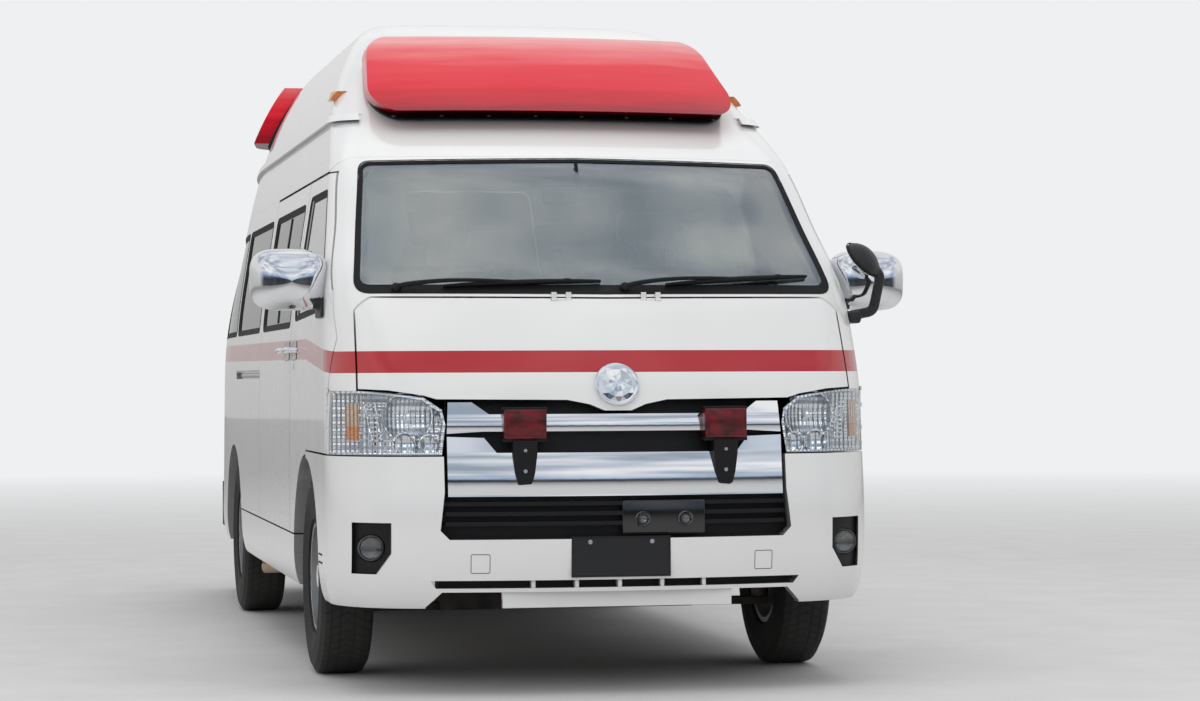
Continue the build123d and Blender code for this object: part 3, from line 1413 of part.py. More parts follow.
for place, x, y, rim_part in WHEELS:
    save(tyre.moved(Location((x, y, TYRE_RADIUS))), "tyre_" + place)
    save(rim_part.moved(Location((x, y, TYRE_RADIUS))), "rim_" + place)

# Front knuckles on their kingpins, and the arms that hold the pins
SLEEVE_RADIUS = 32.0
SLEEVE_LOW = 248.0
SLEEVE_HIGH = 452.0
ARM_THICKNESS = 26.0
ARM_HALF = 40.0
ARM_GAP = 2.0
STUB_REACH = 58.0
DISC_RADIUS = 132.0
DISC_THICKNESS = 24.0
DISC_INSET = 46.0
KINGPIN_BORE = 400.0
sleeve_middle = (-KINGPIN_X, FRONT_AXLE, (SLEEVE_LOW + SLEEVE_HIGH) / 2)
with BuildPart() as knuckle:
    with Locations(sleeve_middle):
        Cylinder(SLEEVE_RADIUS, SLEEVE_HIGH - SLEEVE_LOW)
    with BuildSketch(Plane.YZ.offset(-KINGPIN_X)):
        with Locations((FRONT_AXLE, TYRE_RADIUS)):
            Circle(AXLE_RADIUS)
    extrude(amount=-(KINGPIN_INSET + STUB_REACH))
    with BuildSketch(Plane.YZ.offset(-WHEEL_X + DISC_INSET)):
        with Locations((FRONT_AXLE, TYRE_RADIUS)):
            Circle(DISC_RADIUS)
    extrude(amount=-DISC_THICKNESS)
    with Locations(sleeve_middle):
        Cylinder(KINGPIN_RADIUS + AXLE_FIT, KINGPIN_BORE, mode=Mode.SUBTRACT)
save(knuckle.part, "knuckle_right")
save(knuckle.part.mirror(Plane.YZ), "knuckle_left")
BRACKET_HALF = 60.0
BRACKET_WIDTH = 30.0
arm_low = SLEEVE_LOW - ARM_GAP - ARM_THICKNESS
arm_high = SLEEVE_HIGH + ARM_GAP
arm_top = arm_high + ARM_THICKNESS
arm_end = KINGPIN_X + 24
rail_side = RAIL_X + RAIL_WIDTH / 2 + SEAT_GAP
arm_y0 = FRONT_AXLE - ARM_HALF
arm_y1 = FRONT_AXLE + ARM_HALF
bracket_y0 = FRONT_AXLE - BRACKET_HALF
bracket_y1 = FRONT_AXLE + BRACKET_HALF
with BuildPart() as arms:
    add(block(-arm_end, -rail_side, arm_y0, arm_y1, arm_low, arm_low + ARM_THICKNESS))
    add(block(-arm_end, -rail_side, arm_y0, arm_y1, arm_high, arm_top))
    with Locations((-KINGPIN_X, FRONT_AXLE, (arm_low + arm_high + ARM_THICKNESS) / 2)):
        Cylinder(KINGPIN_RADIUS, arm_high - arm_low)
    add(block(-rail_side, 0, bracket_y0, bracket_y1, arm_low, ENGINE_LOW - SEAT_GAP))
    add(block(-rail_side - BRACKET_WIDTH, -rail_side, bracket_y0, bracket_y1, arm_low, arm_top))
save(pair(arms.part), "front_suspension")

# Rear axle with its drums, differential and leaf springs
SPRING_WIDTH = 66.0
SPRING = [
    (REAR_AXLE - 660, 360 - SEAT_GAP),
    (REAR_AXLE - 600, 360 - SEAT_GAP),
    (REAR_AXLE - 590, 338),
    (REAR_AXLE - 300, 318),
    (REAR_AXLE + 300, 318),
    (REAR_AXLE + 590, 338),
    (REAR_AXLE + 600, 400 - SEAT_GAP),
    (REAR_AXLE + 660, 400 - SEAT_GAP),
    (REAR_AXLE + 660, 312),
    (REAR_AXLE + 300, 276),
    (REAR_AXLE, 264),
    (REAR_AXLE - 300, 276),
    (REAR_AXLE - 660, 312),
]
spring = side_prism(SPRING, 0, -RAIL_X - SPRING_WIDTH / 2, -RAIL_X + SPRING_WIDTH / 2)
springs = pair(spring)
AXLE_TUBE_RADIUS = 44.0
DRUM_IN = WHEEL_X - 72
DRUM_OUT = WHEEL_X - 22
STUB_END = WHEEL_X + 58
AXLE_PROFILE = [
    (-STUB_END, 0),
    (-STUB_END, AXLE_RADIUS),
    (-DRUM_OUT, AXLE_RADIUS),
    (-DRUM_OUT, DISC_RADIUS),
    (-DRUM_IN, DISC_RADIUS),
    (-DRUM_IN, AXLE_TUBE_RADIUS),
    (-130, AXLE_TUBE_RADIUS),
    (-60, 118),
    (60, 118),
    (130, AXLE_TUBE_RADIUS),
    (DRUM_IN, AXLE_TUBE_RADIUS),
    (DRUM_IN, DISC_RADIUS),
    (DRUM_OUT, DISC_RADIUS),
    (DRUM_OUT, AXLE_RADIUS),
    (STUB_END, AXLE_RADIUS),
    (STUB_END, 0),
]
axle_bar = wheel_ring(AXLE_PROFILE).moved(Location((0, REAR_AXLE, TYRE_RADIUS)))
with BuildPart() as rear_axle:
    add(axle_bar)
    add(springs)
save(rear_axle.part, "rear_axle")

# Spare wheel under the tail, held up against the cross members
SPARE_DISC = 40.0
SPARE_INSET = 480.0
with BuildPart() as spare:
    add(wheel_ring(TYRE_PROFILE).rotate(Axis.Y, 90))
    with BuildSketch(Plane.XY):
        Circle(BEAD + 2)
    extrude(amount=SPARE_DISC)
spare_z = CROSS_BOTTOM - TYRE_WIDTH / 2 - SEAT_GAP
save(spare.part.moved(Location((0, BODY_TAIL - SPARE_INSET, spare_z))), "spare_wheel")
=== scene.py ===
# %% [markdown]
# # An ambulance, dressed for its photograph
# The measured model comes in as a fixed frame: panels, doors, glass, lamps and wheels that
# are already the right size and in the right place. This lesson gives them paint, glass,
# rubber and cloth, and adds the small pieces that a photograph shows, such as the window
# seals, the lamps inside the headlamps and the cushions. Lengths are in metres. The front
# looks along -Y, the right side of the vehicle is at -X, and the ground is at Z = 0.

# %% Bring in the frame
import bpy
import bmesh
import math
from mathutils import Matrix, Vector
from mathutils.bvhtree import BVHTree


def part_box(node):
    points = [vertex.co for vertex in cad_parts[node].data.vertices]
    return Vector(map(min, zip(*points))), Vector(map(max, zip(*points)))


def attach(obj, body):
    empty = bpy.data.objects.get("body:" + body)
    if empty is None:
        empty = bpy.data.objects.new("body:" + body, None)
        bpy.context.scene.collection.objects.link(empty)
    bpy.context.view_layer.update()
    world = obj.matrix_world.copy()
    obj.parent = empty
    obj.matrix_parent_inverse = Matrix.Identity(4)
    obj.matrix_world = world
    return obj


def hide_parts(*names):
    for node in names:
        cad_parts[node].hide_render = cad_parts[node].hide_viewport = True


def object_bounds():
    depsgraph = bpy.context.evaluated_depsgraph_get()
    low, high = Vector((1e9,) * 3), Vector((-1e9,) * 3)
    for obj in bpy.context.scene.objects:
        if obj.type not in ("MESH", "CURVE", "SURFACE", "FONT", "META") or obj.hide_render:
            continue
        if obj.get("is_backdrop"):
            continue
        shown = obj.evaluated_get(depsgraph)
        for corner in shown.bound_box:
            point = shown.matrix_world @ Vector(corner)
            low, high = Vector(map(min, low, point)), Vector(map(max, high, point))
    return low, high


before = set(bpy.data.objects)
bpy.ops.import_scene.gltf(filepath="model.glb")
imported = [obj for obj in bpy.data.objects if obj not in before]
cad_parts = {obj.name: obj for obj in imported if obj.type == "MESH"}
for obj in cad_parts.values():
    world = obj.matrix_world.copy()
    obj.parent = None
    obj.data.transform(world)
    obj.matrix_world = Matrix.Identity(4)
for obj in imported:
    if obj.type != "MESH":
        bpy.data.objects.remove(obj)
cad_low, cad_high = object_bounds()
print("frame nodes:", len(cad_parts))
print("the frame's box:", [round(v, 3) for v in cad_low], [round(v, 3) for v in cad_high])

# %% [markdown]
# ## Small tools for the shaders
# A material here is one Principled shader with a few detail nodes in front of it. A `Term`
# is one socket of a node tree. It takes part in ordinary sums, and each sum adds one Math
# node, so that a long shader formula reads like a line of arithmetic. Details that several
# materials share, such as dust low down on the body, are node groups.

# %% Shader tools
def feed(value, socket):
    """Links a term to a socket, or sets a number or a colour on it."""
    if isinstance(value, Term):
        value.tree.links.new(value.socket, socket)
    elif isinstance(value, tuple):
        socket.default_value = (*value, 1)
    elif value is not None:
        socket.default_value = value


def mixed(tree, mask, below, above, kind="MIX"):
    """One colour where the mask is 0 and another where it is 1."""
    made = tree.nodes.new("ShaderNodeMix")
    made.data_type = "RGBA"
    made.blend_type = kind
    for value, index in ((mask, 0), (below, 6), (above, 7)):
        feed(value, made.inputs[index])
    return Term(tree, made.outputs[2])


class Term:
    """One socket of a node tree, which takes part in sums and comparisons."""

    def __init__(self, tree, socket):
        self.tree = tree
        self.socket = socket

    def calc(self, kind, other=None, last=False):
        """One Math node, with this term as its first value or as its last."""
        made = self.tree.nodes.new("ShaderNodeMath")
        made.operation = kind
        for value, socket in zip((other, self) if last else (self, other), made.inputs):
            feed(value, socket)
        return Term(self.tree, made.outputs[0])

    def __add__(self, other):
        return self.calc("ADD", other)

    def __sub__(self, other):
        return self.calc("SUBTRACT", other)

    def __rsub__(self, other):
        return self.calc("SUBTRACT", other, last=True)

    def __mul__(self, other):
        return self.calc("MULTIPLY", other)

    def __truediv__(self, other):
        return self.calc("DIVIDE", other)

    def __gt__(self, other):
        return self.calc("GREATER_THAN", other)

    def __lt__(self, other):
        return self.calc("LESS_THAN", other)

    def most(self, other):
        return self.calc("MAXIMUM", other)

    def wave(self, rate):
        """A sine wave of the term."""
        return (self * rate).calc("SINE")

    def clamped(self):
        """The same term, with the sum that made it kept between 0 and 1."""
        self.socket.node.use_clamp = True
        return self

    def ramp(self, *stops):
        """A colour or a grey, by stops of (place, colour)."""
        made = self.tree.nodes.new("ShaderNodeValToRGB")
        points = made.color_ramp.elements
        while len(points) < len(stops):
            points.new(0.5)
        for point, (place, colour) in zip(points, stops):
            point.position = place
            point.color = (*colour, 1) if isinstance(colour, tuple) else (colour, colour, colour, 1)
        feed(self, made.inputs[0])
        return Term(self.tree, made.outputs[0])

    def blend(self, below, above):
        """One colour where this term is 0 and another where it is 1."""
        return mixed(self.tree, self, below, above)

    def to(self, label):
        """Links the term to a socket of its material's own shader."""
        feed(self, self.tree.nodes["Principled BSDF"].inputs[label])

    def bump(self, distance, strength=0.5):
        """Sends the term, as a height, to the normal of its material's own shader."""
        made = self.tree.nodes.new("ShaderNodeBump")
        made.inputs["Strength"].default_value = strength
        made.inputs["Distance"].default_value = distance
        feed(self, made.inputs["Height"])
        Term(self.tree, made.outputs[0]).to("Normal")


def place_of(tree, output="Object"):
    """X, Y and Z of the shaded point, in the frame's own metres unless told otherwise."""
    coordinate = tree.nodes.new("ShaderNodeTexCoord")
    split = tree.nodes.new("ShaderNodeSeparateXYZ")
    tree.links.new(coordinate.outputs[output], split.inputs[0])
    return [Term(tree, socket) for socket in split.outputs]


def noise_at(tree, scale, stretch=(1, 1, 1), detail=3.0):
    """A noise value from 0 to 1, stretched along the axes."""
    coordinate = tree.nodes.new("ShaderNodeTexCoord")
    mapping = tree.nodes.new("ShaderNodeMapping")
    mapping.inputs["Scale"].default_value = stretch
    noise = tree.nodes.new("ShaderNodeTexNoise")
    noise.inputs["Detail"].default_value = detail
    feed(scale, noise.inputs["Scale"])
    tree.links.new(coordinate.outputs["Object"], mapping.inputs["Vector"])
    tree.links.new(mapping.outputs["Vector"], noise.inputs["Vector"])
    return Term(tree, noise.outputs[0])


def group_of(name, output, **inputs):
    """A new node group with number inputs. Returns its tree and its inputs as terms."""
    tree = bpy.data.node_groups.new(name, "ShaderNodeTree")
    for label, value in inputs.items():
        socket = tree.interface.new_socket(label, in_out="INPUT", socket_type="NodeSocketFloat")
        socket.default_value = value
    tree.interface.new_socket(output, in_out="OUTPUT", socket_type="NodeSocketFloat")
    entry = tree.nodes.new("NodeGroupInput")
    return tree, [Term(tree, entry.outputs[label]) for label in inputs]


def close_group(value):
    """Sends a term out of its node group."""
    feed(value, value.tree.nodes.new("NodeGroupOutput").inputs[0])


def use_group(tree, group, **values):
    """Adds a node group to a tree, with its inputs set, and returns its output."""
    made = tree.nodes.new("ShaderNodeGroup")
    made.node_tree = group
    for label, value in values.items():
        made.inputs[label].default_value = value
    return Term(tree, made.outputs[0])


print("shader tools ready")

# %% [markdown]
# ## The shared details
# Road dust lies on the lowest half metre and thins out upwards, so its mask falls with Z
# and is broken up by noise. A moulded plastic or a tyre has a fine grain. An outer face is
# told from an inner one by asking whether its normal points away from the middle of the
# vehicle, so that the stripe is only painted outside and the lining only inside.

# %% Groups for dust, grain, smears and the outer faces
dust_group, (top, amount) = group_of("road dust", "Mask", Top=0.75, Amount=0.5)
x, y, z = place_of(dust_group)
patches = noise_at(dust_group, 7.0, (1, 1, 0.6), 6.0) * 1.5
close_group(((1.0 - z / top).clamped() * patches * amount).clamped())

grain_group, (scale,) = group_of("moulded grain", "Height", Scale=900.0)
close_group(noise_at(grain_group, scale, detail=2.0))

smear_group, (lowest, highest) = group_of("smears", "Roughness", Low=0.05, High=0.2)
close_group(noise_at(smear_group, 5.0, (1, 1, 2.4), 5.0) * (highest - lowest) + lowest)

NOSE_Y, TAIL_Y, BROW_Y, ROOF_Z = -2.3, 2.35, -1.0, 1.83
outer_group, (reach,) = group_of("outer face", "Mask", Reach=0.12)
x, y, z = place_of(outer_group)
normal_x, normal_y, normal_z = place_of(outer_group, "Normal")
forward = normal_y * -1.0
sideways = x.calc("SIGN") * normal_x
at_ends = ((y < NOSE_Y) * forward).most((y > TAIL_Y) * normal_y)
on_roof = (z > ROOF_Z) * normal_z.most((y < BROW_Y) * forward)
close_group(sideways.most(at_ends).most(on_roof) > reach)
print("shared details:", [group.name for group in bpy.data.node_groups])

# %% [markdown]
# ## Finishes
# Each finish starts from a colour, a roughness and whether it is a metal.

# %% A maker for finishes
DUST = (0.27, 0.25, 0.22)


def dusty(colour, top, amount, tree):
    """Lays road dust over a colour."""
    use_group(tree, dust_group, Top=top, Amount=amount).blend(colour, DUST).to("Base Color")


def finish(name, colour, roughness=0.5, metallic=0.0, coat=0.0, shine=None, smears=None,
           tint=None, dust=None, grain=None, waves=None):
    """A material with one Principled shader and the details that most finishes share.

    shine is the specular level and smears are the lowest and the highest roughness. tint is
    a noise with its colour stops. dust is its top, its amount and the colour below it. grain
    is a bump's scale, distance and strength. waves are a bump's axis, rate, distance and
    strength.
    """
    material = bpy.data.materials.new(name)
    material.use_nodes = True
    tree = material.node_tree
    inputs = tree.nodes["Principled BSDF"].inputs
    for label, value in (("Base Color", colour), ("Roughness", roughness), ("Metallic", metallic),
                         ("Coat Weight", coat), ("Coat Roughness", 0.04), ("Specular IOR Level", shine)):
        feed(value, inputs[label])
    if tint:
        colour = noise_at(tree, *tint[0]).ramp(*tint[1:])
        colour.to("Base Color")
    if dust:
        dusty(dust[2] if len(dust) > 2 else colour, dust[0], dust[1], tree)
    if smears:
        use_group(tree, smear_group, Low=smears[0], High=smears[1]).to("Roughness")
    if grain:
        use_group(tree, grain_group, Scale=grain[0]).bump(*grain[1:])
    if waves:
        place_of(tree)[waves[0]].wave(waves[1]).bump(*waves[2:])
    return material


def see_through(material, tint):
    """Lets light pass: a shadow ray meets a plain clear shader instead of bending."""
    tree = material.node_tree
    shader = tree.nodes["Principled BSDF"]
    shader.inputs["Transmission Weight"].default_value = 1.0
    shader.inputs["IOR"].default_value = 1.45
    clear = tree.nodes.new("ShaderNodeBsdfTransparent")
    clear.inputs["Color"].default_value = (*tint, 1)
    shadow = tree.nodes.new("ShaderNodeLightPath").outputs["Is Shadow Ray"]
    mixer = tree.nodes.new("ShaderNodeMixShader")
    for output, socket in zip((shadow, shader.outputs[0], clear.outputs[0]), mixer.inputs):
        tree.links.new(output, socket)
    tree.links.new(mixer.outputs[0], tree.nodes["Material Output"].inputs[0])
    return material


print("finish maker ready")

# %% [markdown]
# The body is sprayed in gloss white, with one red band round its waist. The band isn't a
# picture: it is the strip of points whose height lies between two lines, and those lines
# rise a little from the nose to the tail, as on the real body. Inside, the same panels
# are covered by a grey lining whose grey is darker than the lining's own colour, as painted
# shade for the dim inside of the body. Sprayed paint is never quite flat, so a very faint
# ripple goes into the normal.

# %% White paint with the red band
BAND_FOOT, BAND_TALL, BAND_RED = 1.073, 0.0735, (0.42, 0.003, 0.01)
paint = finish("white paint", (0.82, 0.82, 0.81), 0.3, 0.0, 0.8, smears=(0.16, 0.28))
tree = paint.node_tree
x, y, z = place_of(tree)
rise_at_nose = ((y + 2.43) * 0.075).most(0.0).calc("MINIMUM", 0.051)
rise_behind = ((y + 1.75) * 0.0036).most(0.0)
band_low = rise_at_nose + rise_behind + BAND_FOOT
outer = use_group(tree, outer_group, Reach=0.12)
band = (z > band_low) * (z < band_low + BAND_TALL) * outer
white = noise_at(tree, 2.2, (1, 0.4, 1)).ramp((0.3, (0.77, 0.775, 0.775)), (0.7, (0.8, 0.8, 0.795)))
# painted shade: the inner lining is a darker grey than its own colour, for the shade inside the body
lining_and_shade = noise_at(tree, 260.0).ramp((0.35, 0.26), (0.65, 0.34))
dusty(band.blend(outer.blend(lining_and_shade, white), BAND_RED), 0.5, 0.2, tree)
noise_at(tree, 5.0, detail=1.0).bump(0.004, 0.1)
print("band from", BAND_FOOT, "to", round(BAND_FOOT + BAND_TALL, 4), "at the nose")

# %% [markdown]
# Plastics, rubbers and metals follow. Black mouldings have a grain and grey dust in it.
# Bright plating is a metal whose roughness varies, which gives it the faint smears that
# a polished bar always has. The two bars of the grille are crowned by their normal, and
# the shells of the mirrors are plated only where no black arm holds them.

# %% Plastics, rubber and plating
moulding = finish("dark moulding", (0.011, 0.011, 0.012), shine=0.25, smears=(0.38, 0.62),
                  dust=(0.5, 0.06, (0.009, 0.009, 0.01)), grain=(700.0, 0.0006, 0.35))
gloss_black = finish("gloss black", (0.008, 0.008, 0.009), 0.12, 0.0, 0.6,
                     smears=(0.06, 0.22))
rubber = finish("black rubber", (0.011, 0.011, 0.012), 0.7, shine=0.25,
                dust=(0.6, 0.1, (0.01, 0.01, 0.011)), grain=(420.0, 0.0008, 0.3))
chrome = finish("bright plating", (0.82, 0.83, 0.85), 0.06, 1.0, smears=(0.02, 0.11),
                tint=((9.0,), (0.3, (0.78, 0.79, 0.81)), (0.7, (0.87, 0.88, 0.9))))

bar_plating = finish("crowned plating", (0.8, 0.81, 0.83), 0.08, 1.0, smears=(0.03, 0.13))
x, y, z = place_of(bar_plating.node_tree)
crowns = []
for middle, half, depth in ((0.7375, 0.0705, 1.0), (0.9055, 0.0285, 0.42)):
    away = (z - middle) / half
    crowns.append((1.0 - away * away).clamped() * depth)
crowns[0].most(crowns[1]).bump(0.011, 1.0)

mirror_shell = finish("mirror shell", (0.8, 0.81, 0.83), 0.1, 1.0)
x, y, z = place_of(mirror_shell.node_tree)
aside = x.calc("ABSOLUTE")
plated = (aside > 0.915) * (y > -2.262) * (z > 1.335).most(aside > 0.96)
plated.to("Metallic")
plated.blend((0.012, 0.012, 0.013), (0.8, 0.81, 0.83)).to("Base Color")
(plated * -0.32 + 0.42 + noise_at(mirror_shell.node_tree, 8.0) * 0.06).to("Roughness")

dark_bowl = finish("dark reflector", (0.3, 0.31, 0.33), 0.2, 0.9, smears=(0.1, 0.3),
                   tint=((40.0,), (0.3, 0.1), (0.7, 0.18)))
bright_bowl = finish("lamp reflector", (0.75, 0.77, 0.8), 0.12, 1.0, smears=(0.05, 0.2))
x, y, z = place_of(bright_bowl.node_tree)
(x.wave(420.0) + z.wave(260.0) * 0.6).bump(0.0022, 0.7)
trim_grey = finish("grey trim", (0.42, 0.43, 0.45), 0.35, 0.8, smears=(0.25, 0.5))
noise_at(trim_grey.node_tree, 40.0, (1, 0.05, 1)).bump(0.001, 0.2)
plate_finish = finish("blank plate", (0.006, 0.006, 0.007), 0.3, 0.0, 0.15,
                      smears=(0.2, 0.4), grain=(160.0, 0.0005, 0.15))
rim_silver = finish("wheel silver", (0.42, 0.43, 0.44), 0.32, 0.75, 0.4, dust=(0.8, 0.25),
                    tint=((1400.0,), (0.35, (0.36, 0.37, 0.38)), (0.65, (0.52, 0.53, 0.54))))

# %% [markdown]
# A glass pane here keeps the thickness of the measured model, so light bends into it and
# out of it again. The window glass mostly shows the sky, with the dark cab behind it. The
# side panes behind the doors are privacy glass, which is far darker. The clear covers of
# the headlamps are the same recipe without any tint.

# %% Glass and amber lenses
glass = see_through(finish("window glass", (0.3, 0.36, 0.35), 0.02, 0.0, 1.0,
                           smears=(0.0, 0.035)), (0.3, 0.34, 0.33))
glass.node_tree.nodes["Principled BSDF"].inputs["Coat IOR"].default_value = 2.6
dark_glass = see_through(finish("privacy glass", (0.05, 0.056, 0.06), 0.02,
                                smears=(0.0, 0.05)), (0.12, 0.13, 0.13))
clear_cover = see_through(finish("clear lamp cover", (0.97, 0.98, 0.98), 0.01,
                                 smears=(0.0, 0.03)), (0.95, 0.96, 0.96))
mirror_face = finish("mirror glass", (0.75, 0.78, 0.8), 0.02, 1.0, smears=(0.0, 0.05))
amber = finish("amber lens", (0.85, 0.28, 0.02), 0.15, 0.0, 0.8, waves=(1, 900.0, 0.0012, 0.6),
               tint=((60.0,), (0.3, (0.5, 0.12, 0.01)), (0.7, (0.68, 0.22, 0.025))))

pale_amber = finish("pale turn lens", (0.85, 0.62, 0.42), 0.2, 0.0, 0.8,
                    waves=(2, 800.0, 0.0015, 0.6))
x, y, z = place_of(pale_amber.node_tree)
pale = noise_at(pale_amber.node_tree, 50.0).ramp((0.3, (0.72, 0.44, 0.24)), (0.7, (0.82, 0.66, 0.5)))
ribs = x.wave(560.0) > 0.1
upper = ribs.blend(pale, (0.36, 0.15, 0.11))
lower = ribs.blend((0.8, 0.3, 0.06), (0.46, 0.12, 0.02))
(z < 0.895).blend(upper, lower).to("Base Color")

# %% [markdown]
# The beacons are the vehicle's mark. Their red plastic is clear. Its colour is a ramp on the
# height above the lens's own foot: the strip above the gasket is deep red, and towards the top
# the colour turns pale pink, a painted highlight that stands for the sky's reflection, with
# streaky painted reflections from a noise that is stretched along X. The tail lamps use the
# same plastic with fine moulded ribs, and a tail lamp has an amber and a clear part, which are
# shares of its height.

# %% Red lenses
beacon_red = finish("beacon lens", (0.7, 0.02, 0.03), 0.14, 0.0, 0.08, shine=0.12,
                    smears=(0.05, 0.2))
tree = beacon_red.node_tree
x, y, z = place_of(tree)
FRONT_FOOT, REAR_RISE, LENS_TALL = 2.02, 0.2, 0.33
lens_foot = (y > 0.0) * REAR_RISE + FRONT_FOOT
# painted reflection: a noise stretched along X lays pale streaks of reflected sky into the colour
reflection_streaks = noise_at(tree, 9.0, (0.18, 1, 3.4), 5.0) - 0.5
height_share = (z - lens_foot) / LENS_TALL + reflection_streaks * 0.34
# painted highlight: the red turns pale pink towards the top of the lens for the sky's reflection, and is deep
# red near the foot
height_share.ramp(
    (0.0, (0.26, 0.0, 0.008)), (0.2, (0.48, 0.0, 0.012)), (0.34, (0.62, 0.006, 0.022)),
    (0.62, (0.66, 0.035, 0.05)), (0.84, (0.7, 0.16, 0.17)), (1.0, (0.72, 0.36, 0.36)),
).to("Base Color")
noise_at(tree, 30.0, (0.15, 1, 4), 3.0).bump(0.002, 0.15)

FINE_RIBS = (2, 700.0, 0.0015, 0.5)
ribbed_red = finish("ribbed red lens", (0.5, 0.008, 0.015), 0.14, 0.0, 1.0, waves=FINE_RIBS,
                    tint=((30.0, (1, 1, 3)), (0.3, (0.36, 0.004, 0.01)), (0.7, (0.62, 0.015, 0.025))))
warning_red = finish("warning lamp lens", (0.2, 0.002, 0.008), 0.1, 0.0, 0.4, shine=0.3,
                     tint=((22.0, (1, 1, 2)), (0.35, (0.03, 0.0, 0.001)), (0.62, (0.15, 0.0, 0.004))),
                     waves=(2, 900.0, 0.001, 0.3))

tail_lens = finish("tail lamp lens", (0.5, 0.008, 0.015), 0.14, 0.0, 1.0, waves=FINE_RIBS)
tree = tail_lens.node_tree
x, y, z = place_of(tree)
tail_tint = noise_at(tree, 30.0, (1, 1, 3)).ramp((0.3, (0.36, 0.004, 0.01)), (0.7, (0.58, 0.012, 0.02)))
tail_low, tail_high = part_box("tail_lamps")
tail_tall = tail_high[2] - tail_low[2]
for start, end, tone in ((0.36, 0.56, (0.72, 0.24, 0.03)), (0.17, 0.33, (0.7, 0.71, 0.7))):
    inside = (z > tail_low[2] + start * tail_tall) * (z < tail_low[2] + end * tail_tall)
    tail_tint = inside.blend(tail_tint, tone)
tail_tint.to("Base Color")
print("tail lamps from", round(tail_low[2], 3), "to", round(tail_high[2], 3))

# %% [markdown]
# A tyre's tread can be drawn by its normal: the grooves run round the tread at fixed
# distances from the middle of the tyre, and the cross cuts repeat with the angle round
# the axle. Both are sums of the place on the tyre, measured from that wheel's own axle.
# The grooves are also coloured darker than the blocks, as painted shade.

# %% Tyres
AXLE_X, AXLE_Z = 0.827, 0.3465
TYRE_MIDDLES = {
    "tyre_front_right": (-AXLE_X, -1.765, AXLE_Z),
    "tyre_front_left": (AXLE_X, -1.765, AXLE_Z),
    "tyre_rear_right": (-AXLE_X, 1.345, AXLE_Z),
    "tyre_rear_left": (AXLE_X, 1.345, AXLE_Z),
}
TREAD_RADIUS = 0.338


def tyre_finish(name, middle, lying=False):
    """Rubber with a tread that is drawn round one wheel's axle."""
    material = finish(name, (0.02, 0.02, 0.021), 0.75, shine=0.3)
    tree = material.node_tree
    x, y, z = [term - centre for term, centre in zip(place_of(tree), middle)]
    across, upward = (z, x) if lying else (x, z)
    radius = (y * y + upward * upward).calc("SQRT")
    angle = y.calc("ARCTAN2", upward)
    on_tread = radius > TREAD_RADIUS
    off_centre = across.calc("ABSOLUTE")
    grooves = off_centre.wave(190.0) > -0.72
    cuts = (angle * 64.0 + off_centre * 90.0).calc("SINE") > -0.8
    blocks = grooves * cuts * on_tread
    rings = radius.wave(950.0) * 0.06 * (radius < 0.3)
    grit = use_group(tree, grain_group, Scale=500.0) * 0.04
    (blocks + rings + grit).bump(0.008, 0.9)
    # painted shade: the grooves between the blocks are coloured darker than the blocks
    painted_groove_shade = blocks.blend((0.006, 0.006, 0.006), (0.017, 0.017, 0.018))
    dusty(on_tread.blend((0.012, 0.012, 0.013), painted_groove_shade), 0.75, 0.12, tree)
    return material


tyre_of = {name: tyre_finish(name + " rubber", middle) for name, middle in TYRE_MIDDLES.items()}
spare_rubber = tyre_finish("spare rubber", (0.0, 2.105, 0.38), True)
print("tyres:", len(tyre_of), "and a spare")

# %% [markdown]
# Below and inside there are plainer things: underbody paint with rust-brown dirt, raw cast
# iron, a heat-tanned exhaust, a ribbed rubber floor, brushed metal and woven seat cloth.
# The weave is two sine waves across each other, strong enough to be felt in the light.

# %% Underbody, cabin and cloth
underbody = finish("underbody paint", (0.03, 0.03, 0.032), 0.7, grain=(180.0, 0.001, 0.4),
                   tint=((11.0, (1, 1, 1), 6.0), (0.4, (0.022, 0.022, 0.024)), (0.72, (0.075, 0.06, 0.045))))
cast_iron = finish("cast iron", (0.13, 0.12, 0.11), 0.6, 0.7, grain=(300.0, 0.001, 0.5),
                   tint=((24.0,), (0.35, (0.09, 0.085, 0.08)), (0.7, (0.2, 0.16, 0.12))))
tanned_steel = finish("tanned steel", (0.36, 0.28, 0.2), 0.45, 0.6,
                      tint=((14.0, (1, 0.3, 1), 5.0), (0.3, (0.42, 0.31, 0.21)), (0.7, (0.55, 0.45, 0.35))))
noise_at(tanned_steel.node_tree, 90.0).bump(0.0008, 0.3)
lining_plastic = finish("cabin plastic", (0.075, 0.077, 0.08), 0.6,
                        grain=(600.0, 0.0008, 0.4),
                        tint=((6.0,), (0.3, (0.065, 0.067, 0.07)), (0.7, (0.09, 0.092, 0.095))))

floor_rubber = finish("ribbed floor", (0.12, 0.13, 0.14), 0.65, waves=(0, 420.0, 0.0015, 0.4))
ribbed = noise_at(floor_rubber.node_tree, 18.0).ramp((0.3, (0.1, 0.105, 0.11)), (0.7, (0.16, 0.165, 0.17)))
(place_of(floor_rubber.node_tree)[2] < 0.5).blend(ribbed, (0.03, 0.03, 0.032)).to("Base Color")

brushed = finish("brushed deck metal", (0.6, 0.61, 0.62), 0.35, 0.85)
brush_lines = noise_at(brushed.node_tree, 90.0, (1, 0.03, 1), 2.0)
brush_lines.bump(0.0006, 0.3)
brush_lines.ramp((0.3, 0.5), (0.7, 0.68)).to("Base Color")

